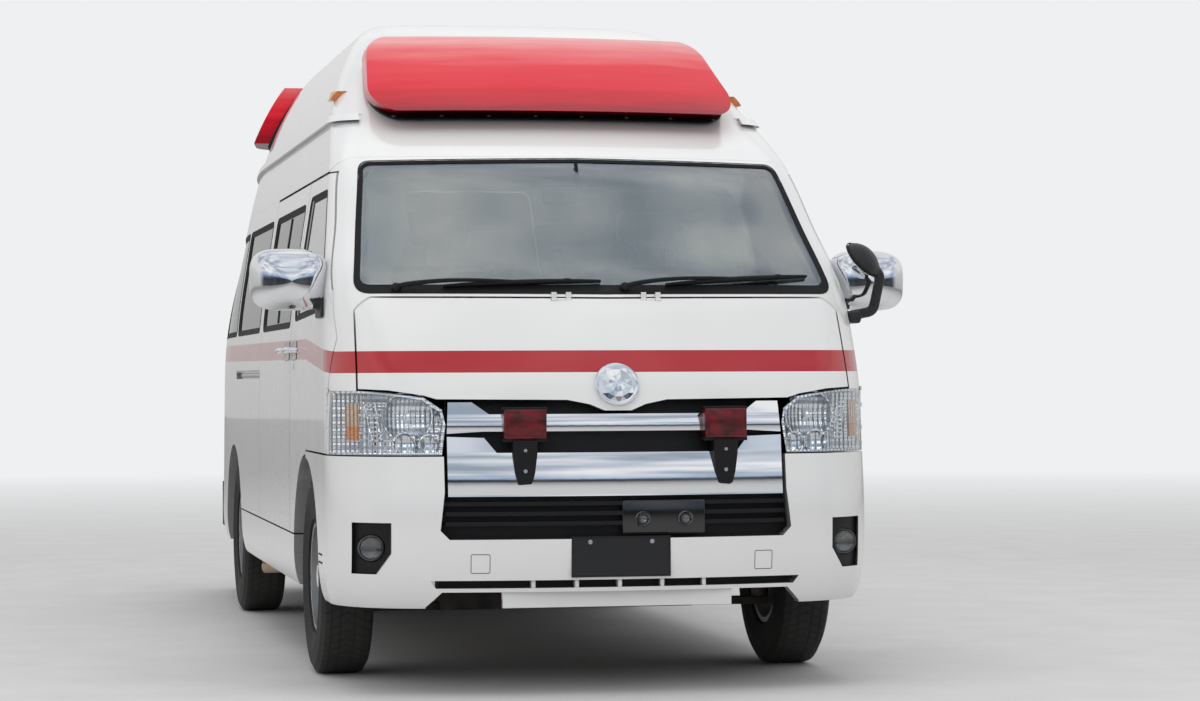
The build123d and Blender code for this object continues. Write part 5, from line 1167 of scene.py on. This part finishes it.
rim_rings = at_mirror((outer_line, -0.003), (outer_line, 0.005), (rim_line, 0.004), (rim_line, -0.003))
on_both("door_", ("mirror_rim", loft_shape(rim_rings, wrap=True), gloss_black),
        ("mirror_glass", loft_shape(at_mirror((rim_line, -0.002), (rim_line, 0.002))), mirror_face))

HOUSING_MIDDLE = Vector((MIRROR_X, -2.1205, MIRROR_Z))
HOUSING_WIDE, HOUSING_TALL, HOUSING_DEPTH = 0.135, 0.107, 0.131
SQUARENESS = 2 / 3.5
housing_rings = []
for t in (0.0, 0.03, 0.12, 0.25, 0.38, 0.5, 0.6, 0.69, 0.77, 0.84, 0.9, 0.945, 0.975, 0.993, 1.0):
    share = max((1 - t ** 3.4) ** 0.5, 0.01) * (0.985 if t == 0.0 else 1.0)
    ring = []
    for a in [2 * math.pi * k / 56 for k in range(56)]:
        x, z = [size * math.copysign(abs(value) ** SQUARENESS, value)
                for size, value in ((HOUSING_WIDE, math.cos(a)), (HOUSING_TALL, math.sin(a)))]
        ring.append(HOUSING_MIDDLE + Vector((x * share, -HOUSING_DEPTH * t, z * share - 0.01 * t)))
    housing_rings.append(ring)
on_both("door_", ("mirror_housing", loft_shape(housing_rings), chrome), angle=60)

dome_middle = Vector((0.968, -2.350, 1.466))
dome_axis = Vector((0.58, -0.5, 0.64)).normalized()
piece("dome_mirror_glass", turned_shape([(0.0, 0.0), (0.062, 0.0), (0.062, -0.001), (0.06, -0.0035),
                                         (0.0, -0.0035)],
                                        dome_middle - dome_axis * 0.0115, dome_axis, 40), mirror_face,
      "door_left")
piece("dome_mirror_band", turned_shape([(0.0775, 0.004), (0.0795, 0.001), (0.0785, -0.004), (0.076, -0.002)],
                                       dome_middle, dome_axis, 44, True), moulding, "door_left")
print("mirror shell rings:", len(housing_rings))

# %% [markdown]
# ## Handles, locks and rails
# A pull handle is a bowed grip over a shallow dark cup. Both ends of the grip run down
# into the panel, so its path starts and ends on the skin. The sliding door's rear roller
# runs in the rail along the body. Its groove is a flat black strip on the panel, whose
# darkness is painted shade, with a metal lip above it.

# %% Door handles
HANDLE_Z = 1.160


def cup_on(skin, a, b=HANDLE_Z, width=0.19, height=0.074):
    """A shallow oval plate on a panel."""
    corners = box_line(a - width / 2, b - height / 2, a + width / 2, b + height / 2)
    line = rounded(corners, min(width, height) * 0.42, 6, 5)
    middle = Vector((a, b))
    rings = [skin.ring([middle + (point - middle) * share for point in line], lift) for share, lift in (
        (1.0, -0.001), (1.0, 0.0016), (0.9, 0.0024), (0.8, 0.0012), (0.4, 0.0006), (0.05, 0.0006))]
    return loft_shape(rings)


def grip_on(skin, start, length=0.198, lift=0.034, radius=0.011):
    """A bowed grip along a panel."""
    bows = [(k / 20, math.sin(math.pi * k / 20)) for k in range(21)]
    path = [skin.at(start + length * t, HANDLE_Z, -0.004 + lift * min(1.0, bow * 2.2)) for t, bow in bows]
    return tube_shape(path, [radius * (0.85 + 0.35 * bow) for t, bow in bows], 12)


for side in SIDES:
    body = "door_" + side
    door = Skin(side, "front_door_" + side)
    piece("door_handle_cup_" + side, cup_on(door, -1.335), gloss_black, body)
    piece("door_handle_grip_" + side, grip_on(door, -1.435), chrome, body)
    lock = door.at(-1.335, 1.100)
    piece("door_lock_" + side, turned_shape([(0.0, -0.001), (0.011, -0.001), (0.011, 0.002), (0.008, 0.0035),
                                             (0.0, 0.0035)],
                                            lock, door.at(-1.335, 1.100, 0.1) - lock, 20), chrome, body)
    slider = Skin(side, "sliding_doors")
    piece("sliding_handle_cup_" + side, cup_on(slider, -1.075), gloss_black)
    piece("sliding_handle_grip_" + side, grip_on(slider, -1.175), chrome)
    panel = Skin(side, "side_panel_" + side)
    # painted shade: the rail's groove is a flat black strip laid on the panel
    rail = strip_on(panel, [(0.075 + 0.0566 * k, 1.070) for k in range(21)], 0.022, 0.003)
    piece("sliding_rail_" + side, rail, gloss_black)
    rail_lip = strip_on(panel, [(0.055 + 0.0586 * k, 1.0895) for k in range(21)], 0.005, 0.0025)
    piece("sliding_rail_lip_" + side, rail_lip, trim_grey)
flap = box_line(0.30, 0.86, 0.47, 1.02)
piece("fuel_flap_line", outline_on(Skin("left", "side_panel_left"), flap, 0.02, 0.0013), moulding)
print("handles: 4")

# %% [markdown]
# ## Wheels
# The frame's rim has its ten slots. Here come the six nuts, the cap over the hub bearing,
# the valve and the bright ring at the rim's edge. They ride on the wheel, so they turn
# with it.

# %% Nuts, caps and valves
NUT = [(0.0155, -0.001), (0.0155, 0.002), (0.0115, 0.004), (0.0115, 0.017), (0.008, 0.021), (0.0, 0.022)]
CAP = [(0.0, 0.04), (0.052, 0.044), (0.0515, 0.058), (0.046, 0.068), (0.036, 0.0735), (0.018, 0.0755),
       (0.0, 0.076)]
VALVE = [(0.006, -0.004), (0.006, 0.008), (0.0042, 0.010), (0.0042, 0.028), (0.0, 0.029)]
LIP = [(0.1965, 0.0755), (0.1975, 0.0735), (0.192, 0.0715), (0.188, 0.0735), (0.190, 0.0765)]
for wheel, middle in TYRE_MIDDLES.items():
    place = wheel.replace("tyre_", "")
    body = "wheel_" + place
    out = Vector((-1 if "right" in wheel else 1, 0, 0))

    def on_wheel(along, radius, a):
        """A place on the wheel, by its distance along the axle, its radius and its angle."""
        return Vector(middle) + out * along + Vector((0, radius * math.cos(a), radius * math.sin(a)))

    nuts = [turned_shape(NUT, on_wheel(0.0425, 0.070, math.pi * k / 3 + 0.3), out, 6) for k in range(6)]
    piece("wheel_nuts_" + place, nuts, trim_grey, body, angle=25)
    piece("hub_cap_" + place, turned_shape(CAP, middle, out, 36), chrome, body)
    piece("valve_" + place, turned_shape(VALVE, on_wheel(0.034, 0.170, 2.0), out, 10), rubber, body)
    piece("rim_lip_" + place, turned_shape(LIP, middle, out, 64, True), chrome, body)
print("wheels trimmed:", len(TYRE_MIDDLES))

# %% [markdown]
# ## The tail
# The rear gets a bar over the plate, a blank plate, a wiper on the glass, a high stop lamp,
# ribs on the step and two red reflectors. The handle sits under the bar.

# %% Tail trim
gate_skin = Skin("rear", "tailgate")


def bar_across(half, steps, section):
    """A bar across the tailgate, whose section is given as (height, lift)."""
    return loft_shape([[gate_skin.at(-half + 2 * half * k / steps, z, lift) for z, lift in section]
                       for k in range(steps + 1)])


piece("tailgate_bar", bar_across(0.33, 14, ((1.010, -0.002), (1.012, 0.018), (1.030, 0.026), (1.052, 0.020),
                                            (1.060, -0.002))), chrome, "tailgate")
low_y = gate_skin.at(0.0, 0.88).y
piece("rear_plate", slab_shape((-0.165, low_y + 0.001, 0.795), (0.165, low_y + 0.009, 0.960), 0.003),
      plate_finish, "tailgate")
piece("rear_plate_screws", screws_at([(x, low_y + 0.009, 0.942) for x in (-0.105, 0.105)], (0, 1, 0),
                                     0.0015, 0.0022), trim_grey, "tailgate")
gate_glass = Skin("rear", "tailgate_glass")
arm = [gate_glass.at(0.02 + 0.40 * k / 12, 1.245 + 0.15 * (k / 12), 0.014) for k in range(13)]
blade = [gate_glass.at(0.12 + 0.46 * k / 16, 1.30 + 0.13 * (k / 16), 0.009) for k in range(17)]
piece("rear_wiper", [tube_shape(arm, [0.007 - 0.003 * k / 12 for k in range(13)], 8),
                     tube_shape(blade, 0.005, 8),
                     turned_shape([(0.0, -0.006), (0.02, -0.006), (0.02, 0.014), (0.012, 0.02), (0.0, 0.02)],
                                  gate_glass.at(0.02, 1.245), count=20)], moulding, "tailgate")
piece("high_stop_lamp", bar_across(0.17, 10, ((1.862, -0.002), (1.865, 0.012), (1.885, 0.013),
                                              (1.888, -0.002))),
      ribbed_red, "tailgate")
step_y, step_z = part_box("rear_bumper")[1][1:]
piece("step_ribs", [slab_shape((-0.70, step_y - 0.055 - 0.022 * k, step_z - 0.002),
                               (0.70, step_y - 0.045 - 0.022 * k, step_z + 0.003), 0.0015, 2)
                    for k in range(6)], rubber)
piece("rear_reflectors", [slab_shape((x - 0.05, step_y - 0.004, 0.42), (x + 0.05, step_y - 0.0003, 0.455),
                                     0.0015, 2) for x in (-0.60, 0.60)], ribbed_red)
print("tail done")

# %% [markdown]
# ## In the cab
# Seen through the glass, the cab needs its instruments: a hood over the dials, a centre
# panel with a screen and knobs, round air vents, the line of the glove box, a gear lever
# and the two pedals. They stand on the dashboard's own face or on the floor. A mirror
# hangs from a stalk behind the windscreen.

# %% Dashboard details
DRIVER_X, VENT_Z, DASH_FACE = -0.40, 1.135, -2.203
rings = []
for y, top, half in ((-2.40, 1.278, 0.15), (-2.36, 1.318, 0.175), (-2.30, 1.330, 0.185),
                     (-2.245, 1.322, 0.18)):
    outline = rounded([(-half, 1.24), (half, 1.24), (half * 0.82, top), (-half * 0.82, top)], 0.02, 4, 4)
    rings.append([Vector((DRIVER_X + point[0], y, point[1])) for point in outline])
piece("dial_hood", loft_shape(rings), lining_plastic)
piece("dials", [turned_shape([(0.0, 0.0), (0.045, 0.0), (0.047, 0.004), (0.043, 0.006), (0.041, 0.002),
                              (0.0, 0.002)],
                             (DRIVER_X + x, -2.2445, 1.288)) for x in (-0.062, 0.062)], gloss_black)
piece("centre_screen", slab_shape((-0.13, -2.212, 1.075), (0.15, -2.190, 1.185), 0.006), gloss_black)
vents = []
for x in (-0.68, -0.18, 0.20, 0.68):
    vents.append(turned_shape([(0.046, 0.0), (0.047, 0.010), (0.042, 0.014), (0.038, 0.008), (0.038, 0.0)],
                              (x, DASH_FACE, VENT_Z), wrap=True))
    for z in (-0.022, -0.008, 0.008, 0.022):
        vents.append(slab_shape((x - 0.036, DASH_FACE - 0.002, VENT_Z + z - 0.0018),
                                (x + 0.036, DASH_FACE + 0.008, VENT_Z + z + 0.0018), 0.0008, 2))
piece("air_vents", vents, moulding)
piece("dash_knobs", [turned_shape([(0.0, 0.0), (0.018, 0.0), (0.017, 0.014), (0.012, 0.018), (0.0, 0.018)],
                                  (x, -2.192, 1.095), count=24) for x in (-0.10, 0.12)], trim_grey)
lid = [Vector((p[0], -2.2085 + 0.0769 * (p[1] - 1.075), p[1]))
       for p in rounded(box_line(0.30, 1.075, 0.64, 1.175), 0.015, 4, 6)]
piece("glove_box_line", tube_shape(lid, 0.0016, 6, True), moulding)
lever = [(-0.12, -2.27, 1.02), (-0.12, -2.20, 1.02), (-0.12, -2.155, 1.06), (-0.12, -2.145, 1.12)]
piece("gear_lever", [tube_shape(lever, 0.008, 10),
                     turned_shape([(0.0, -0.03), (0.018, -0.025), (0.022, 0.0), (0.017, 0.022), (0.0, 0.028)],
                                  (-0.12, -2.143, 1.135), (0, 0.1, 1), 20)], moulding)
pedals = []
for x, wide in ((-0.47, 0.045), (-0.32, 0.028)):
    pedals.append(tube_shape([(x, -2.46, 0.93), (x, -2.43, 0.74), (x, -2.40, 0.635)], 0.007, 8))
    pedals.append(slab_shape((x - wide, -2.405, 0.60), (x + wide, -2.388, 0.67), 0.005))
piece("pedals", pedals, rubber)
wheel_axis = Vector((0, math.cos(math.radians(38)), math.sin(math.radians(38))))
piece("horn_pad", turned_shape([(0.0, 0.003), (0.072, 0.003), (0.076, 0.010), (0.068, 0.020), (0.045, 0.027),
                                (0.0, 0.030)],
                               (DRIVER_X, -2.070, 1.262), wheel_axis, 36), lining_plastic, "steering")
mirror_at = Vector((0, screen.at(0.0, 1.735).y + 0.085, 1.700))
rings = []
for y, share in ((0.012, 0.9), (0.0, 1.0), (-0.012, 0.98), (-0.022, 0.8)):
    outline = rounded(box_line(-0.12 * share, -0.033 * share, 0.12 * share, 0.033 * share), 0.02, 4, 4)
    rings.append([mirror_at + Vector((p[0], y, p[1])) for p in outline])
piece("inner_mirror", loft_shape(rings), moulding)
stalk = [mirror_at + Vector(step) for step in ((0, -0.02, 0.0), (0, -0.03, 0.06), (0, 0.0, 0.118))]
piece("inner_mirror_stalk", tube_shape(stalk, 0.007, 10), moulding)
print("cab details done")

# %% [markdown]
# ## Cushions
# A cushion is stuffed, so its faces crown and its sides pull in between the corners. Each
# one starts as a rounded block that is a little too small. It is remeshed into even
# squares, because cloth needs points all over a face and not only along its edges.

# %% Rounded blocks
def cushion(name, size, edge, move, turn, material):
    """A rounded block of this size, remeshed, then moved into place. Returns the object."""
    half = Vector(size) / 2
    points, faces = slab_shape(-half, half, edge, 4)
    mesh = bpy.data.meshes.new(name)
    mesh.from_pydata([tuple(point) for point in points], [], faces)
    made = bpy.data.objects.new(name, mesh)
    bpy.context.scene.collection.objects.link(made)
    remesh = made.modifiers.new("even squares", "REMESH")
    remesh.mode = "VOXEL"
    remesh.voxel_size = 0.011
    graph = bpy.context.evaluated_depsgraph_get()
    even = bpy.data.meshes.new_from_object(made.evaluated_get(graph))
    made.modifiers.clear()
    made.data = even
    even.name = name
    even.transform(Matrix.Translation(Vector(move)) @ Matrix.Rotation(math.radians(turn), 4, "X"))
    even.materials.clear()
    even.materials.append(material)
    even.shade_smooth()
    return made


SEATS = (("right", -0.40), ("left", 0.40))
BENCH_PLACES = (-0.665, 0.20, 1.065)
cushions = []
for side, x in SEATS:
    for kind, size, y, z, turn in (("base", (0.455, 0.43, 0.115), -1.735, 0.907, 3),
                                   ("back", (0.43, 0.10, 0.50), -1.455, 1.245, -9),
                                   ("head", (0.23, 0.085, 0.135), -1.375, 1.615, -9)):
        made = cushion("seat_%s_%s" % (kind, side), size, 0.03, (x, y, z), turn, seat_cloth)
        cushions.append((made, kind, x))
for number, y in enumerate(BENCH_PLACES, 1):
    made = cushion("bench_pad_%d" % number, (0.365, 0.815, 0.075), 0.022, (-0.40, y, 0.985), 0, bench_vinyl)
    cushions.append((made, "bench", y))
print("cushions:", len(cushions))

# %% [markdown]
# The blocks are filled with air by the cloth solver, with gravity off. The swelling is
# capped, so that each cushion keeps its place.

# %% Filled with air
CAPS = {"base": 0.022, "back": 0.022, "head": 0.014, "bench": 0.016}
LAST_FRAME = 20
starts = []
for made, kind, middle in cushions:
    starts.append([vertex.co.copy() for vertex in made.data.vertices])
    cloth = made.modifiers.new("air", "CLOTH")
    cloth.settings.use_pressure = True
    cloth.settings.uniform_pressure_force = 4.0
    cloth.settings.effector_weights.gravity = 0.0
    cloth.point_cache.frame_start = 1
    cloth.point_cache.frame_end = LAST_FRAME
for number in range(1, LAST_FRAME + 1):
    bpy.context.scene.frame_set(number)
graph = bpy.context.evaluated_depsgraph_get()
for (made, kind, middle), start in zip(cushions, starts):
    swollen = [vertex.co.copy() for vertex in made.evaluated_get(graph).data.vertices]
    most = 0.0
    for vertex, before, after in zip(made.data.vertices, start, swollen):
        shift = after - before
        if shift.length > CAPS[kind]:
            shift *= CAPS[kind] / shift.length
        most = max(most, shift.length)
        vertex.co = before + shift
    print(made.name, "points", len(start), "largest move", round(most, 4))
for made, kind, middle in cushions:
    made.modifiers.clear()
bpy.context.scene.frame_set(1)

# %% [markdown]
# The sewn channels are pressed in afterwards, as narrow valleys in the finished shape: two
# along a seat and its back, three across a bench pad. The cushions and a box with door
# lines stand for the plain blocks of the frame.

# %% Sewn channels, and what stands for the plain blocks
CHANNEL_DEPTH, CHANNEL_WIDTH = 0.006, 0.008
for made, kind, middle in cushions:
    for vertex in made.data.vertices:
        x, y, z = vertex.co
        if kind == "bench":
            near = min(abs(y - middle - line) for line in (-0.205, 0.0, 0.205))
        elif kind == "head":
            near = 1.0
        else:
            near = min(abs(x - middle - line) for line in (-0.125, 0.125))
        press = CHANNEL_DEPTH * math.exp(-(near / CHANNEL_WIDTH) ** 2)
        if kind == "back":
            vertex.co.y += press if y < -1.45 else -press
        else:
            vertex.co.z -= press if z > 0.9 else 0.0
    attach(made, "body")
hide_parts("front_seats")

shapes = []
for side, x in SEATS:
    shapes.append(slab_shape((x - 0.235, -1.955, 0.8295), (x + 0.235, -1.50, 0.858), 0.008))
    shapes += [tube_shape([(x + post, -1.415, 1.46), (x + post, -1.392, 1.57)], 0.006, 8)
               for post in (-0.055, 0.055)]
    shapes += [slab_shape((x + edge - 0.012, -1.53, 0.84), (x + edge + 0.012, -1.47, 1.02), 0.005)
               for edge in (-0.205, 0.205)]
piece("seat_frames", shapes, moulding)
bench_box = piece("bench_box", slab_shape((-0.598, -1.098, 0.6405), (-0.202, 1.498, 0.940), 0.006),
                  lining_plastic)
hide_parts("attendant_bench")
shapes = []
for y in BENCH_PLACES:
    door_line = [(-0.2015, b, z) for b, z in box_line(y - 0.39, 0.68, y + 0.39, 0.90)]
    shapes.append(tube_shape(door_line, 0.0018, 6, True))
    pull = [(-0.202, y - 0.06, 0.86), (-0.180, y - 0.05, 0.86), (-0.180, y + 0.05, 0.86),
            (-0.202, y + 0.06, 0.86)]
    shapes.append(tube_shape(pull, 0.005, 8))
piece("bench_door_lines", shapes, trim_grey)

# %% [markdown]
# ## In the load space
# The stretcher rolls in between two guide rails and is held by a stop at the front. A
# grab rail hangs from the roof lining, with a lamp on each side of it.

# %% Rails and lamps behind
deck_low, deck_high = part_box("stretcher_deck")
rail_top = deck_high[2] + 0.012
shapes = [tube_shape([(x, deck_low[1] + 0.05, rail_top), (x, deck_high[1] - 0.05, rail_top)], 0.0125, 12)
          for x in (deck_low[0] + 0.10, deck_high[0] - 0.10)]
shapes.append(slab_shape((deck_low[0] + 0.12, deck_low[1] + 0.02, deck_high[2] - 0.001),
                         (deck_high[0] - 0.12, deck_low[1] + 0.08, deck_high[2] + 0.07), 0.008))
piece("stretcher_guides", shapes, trim_grey)
roof_tree = Skin("front", "high_roof").tree


def ceiling(x, y):
    """The height of the roof's inner face."""
    place = roof_tree.ray_cast(Vector((x, y, 1.9)), Vector((0, 0, 1)))[0]
    return place.z if place else 2.2


RAIL_X = 0.19
rail_y = [-0.9 + 0.3 * k for k in range(10)]
rail_z = min(ceiling(RAIL_X, y) for y in rail_y) - 0.06
shapes = [tube_shape([(RAIL_X, y, rail_z) for y in rail_y], 0.014, 12)]
shapes += [tube_shape([(RAIL_X, y, rail_z), (RAIL_X, y, ceiling(RAIL_X, y) + 0.002)], 0.010, 10)
           for y in (-0.8, 0.4, 1.6)]
piece("grab_rail", shapes, brushed)
shapes = []
for x in (-0.30, 0.50):
    for y in (-0.5, 0.5, 1.5):
        top = min(ceiling(x + dx, y + dy) for dx in (-0.05, 0.05) for dy in (-0.2, 0.2))
        shapes.append(slab_shape((x - 0.05, y - 0.2, top - 0.018), (x + 0.05, y + 0.2, top + 0.004), 0.006))
piece("ceiling_lamps", shapes, clear_cover)
print("rail height", round(rail_z, 3))

# %% [markdown]
# ## Floor, light and camera
# The camera stands where the photographer stood, low and ahead of the right front corner,
# with a long lens.

# %% Camera
camera_data = bpy.data.cameras.new("camera")
camera_data.sensor_width = 36
camera_data.lens = 93.13
camera = bpy.data.objects.new("camera", camera_data)
bpy.context.scene.collection.objects.link(camera)
yaw, pitch, roll = math.radians(11.411), math.radians(0.504), math.radians(0.244)
camera.location = (-2.1088, -12.8995, 1.0538)
camera.rotation_euler = (math.pi / 2 + pitch, roll, -yaw)
bpy.context.scene.camera = camera
print("camera lens:", camera_data.lens)

# %% [markdown]
# The floor is pale and takes the vehicle's shadow. Far from the vehicle it fades into the
# backdrop, so that no edge crosses the picture.

# %% Floor and backdrop
BACKDROP = (0.86, 0.87, 0.88)
BLACK = (0.0, 0.0, 0.0)
FADE_START, FADE_LENGTH = 6.0, 16.0
bpy.ops.mesh.primitive_plane_add(size=160, location=(0, 0, 0))
floor = bpy.context.object
floor.name = "floor"
floor_material = bpy.data.materials.new("pale floor")
floor_material.use_nodes = True
tree = floor_material.node_tree
shader = tree.nodes["Principled BSDF"]
shader.inputs["Roughness"].default_value = 0.95
shader.inputs["Specular IOR Level"].default_value = 0.0
shader.inputs["Emission Strength"].default_value = 1.0
x, y, z = place_of(tree)
far = (((x * x + y * y).calc("SQRT") - FADE_START) / FADE_LENGTH).clamped()
near_tint = noise_at(tree, 3.0, (1, 1, 1), 5.0).ramp((0.3, 0.6), (0.7, 0.64))
far.blend(near_tint, BLACK).to("Base Color")
seen = Term(tree, tree.nodes.new("ShaderNodeLightPath").outputs["Is Camera Ray"])
far.blend(BLACK, seen.blend((0.3, 0.3, 0.3), BACKDROP)).to("Emission Color")
floor.data.materials.append(floor_material)
floor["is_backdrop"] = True
print("floor fades from", FADE_START, "to", FADE_START + FADE_LENGTH)

# %% [markdown]
# The light is a bright soft sky: an even world, a large lamp overhead and a weaker one
# from the front. The reflections see clouds over a street that is dark ahead of the
# vehicle, so that plated parts and glass have something to show.

# %% Sky and lamps
world = bpy.data.worlds.new("world")
bpy.context.scene.world = world
world.use_nodes = True
tree = world.node_tree
x, y, z = place_of(tree, "Generated")
height = z * 0.5 + 0.5
even_sky = height.ramp((0.0, 0.3), (0.5, 0.5), (0.6, 0.78), (1.0, 0.86))
clouds = noise_at(tree, 2.6, (1, 1, 2.2), 5.0)
clouds = clouds.ramp((0.36, (0.36, 0.42, 0.5)), (0.5, (0.66, 0.71, 0.78)), (0.64, (1.0, 1.0, 1.0)))
street = height.ramp((0.497, 0.06), (0.512, 0.1), (0.53, 0.05), (0.545, (0.5, 0.62, 0.8)), (0.62, 1.0))
ahead = (y * -2.0).clamped()
reflected = mixed(tree, 1.0, clouds, ahead.blend((0.95, 0.95, 0.95), street), "MULTIPLY")
path = tree.nodes.new("ShaderNodeLightPath")
glossy, seen = [Term(tree, path.outputs[label]) for label in ("Is Glossy Ray", "Is Camera Ray")]
high_up = ((z - 0.45) * 5.0).clamped()
sky = (glossy * ahead.most(high_up)).blend(even_sky, reflected)
feed(seen.blend(sky, BACKDROP), tree.nodes["Background"].inputs["Color"])
tree.nodes["Background"].inputs["Strength"].default_value = 1.0
for name, place, target, size, power in (("overhead lamp", (0.0, -1.0, 7.5), (0, 0, 1), (7, 9), 210),
                                         ("front lamp", (-3.5, -9.5, 4.2), (0, -2.4, 1.2), (5, 3), 70)):
    data = bpy.data.lights.new(name, "AREA")
    data.shape = "RECTANGLE"
    data.size, data.size_y = size
    data.energy = power
    lamp = bpy.data.objects.new(name, data)
    lamp.location = place
    lamp.rotation_euler = (Vector(target) - Vector(place)).to_track_quat("-Z", "Y").to_euler()
    lamp.visible_glossy = False
    bpy.context.scene.collection.objects.link(lamp)
bpy.context.scene.view_settings.view_transform = "Standard"
print("lamps:", [light.name for light in bpy.data.lights])

# %% [markdown]
# Last, the box round the finished scene is printed, as the frame's box was at the start.

# %% Finish
low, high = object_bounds()
print("the visual box:", [round(v, 3) for v in low], [round(v, 3) for v in high])
bpy.context.view_layer.update()
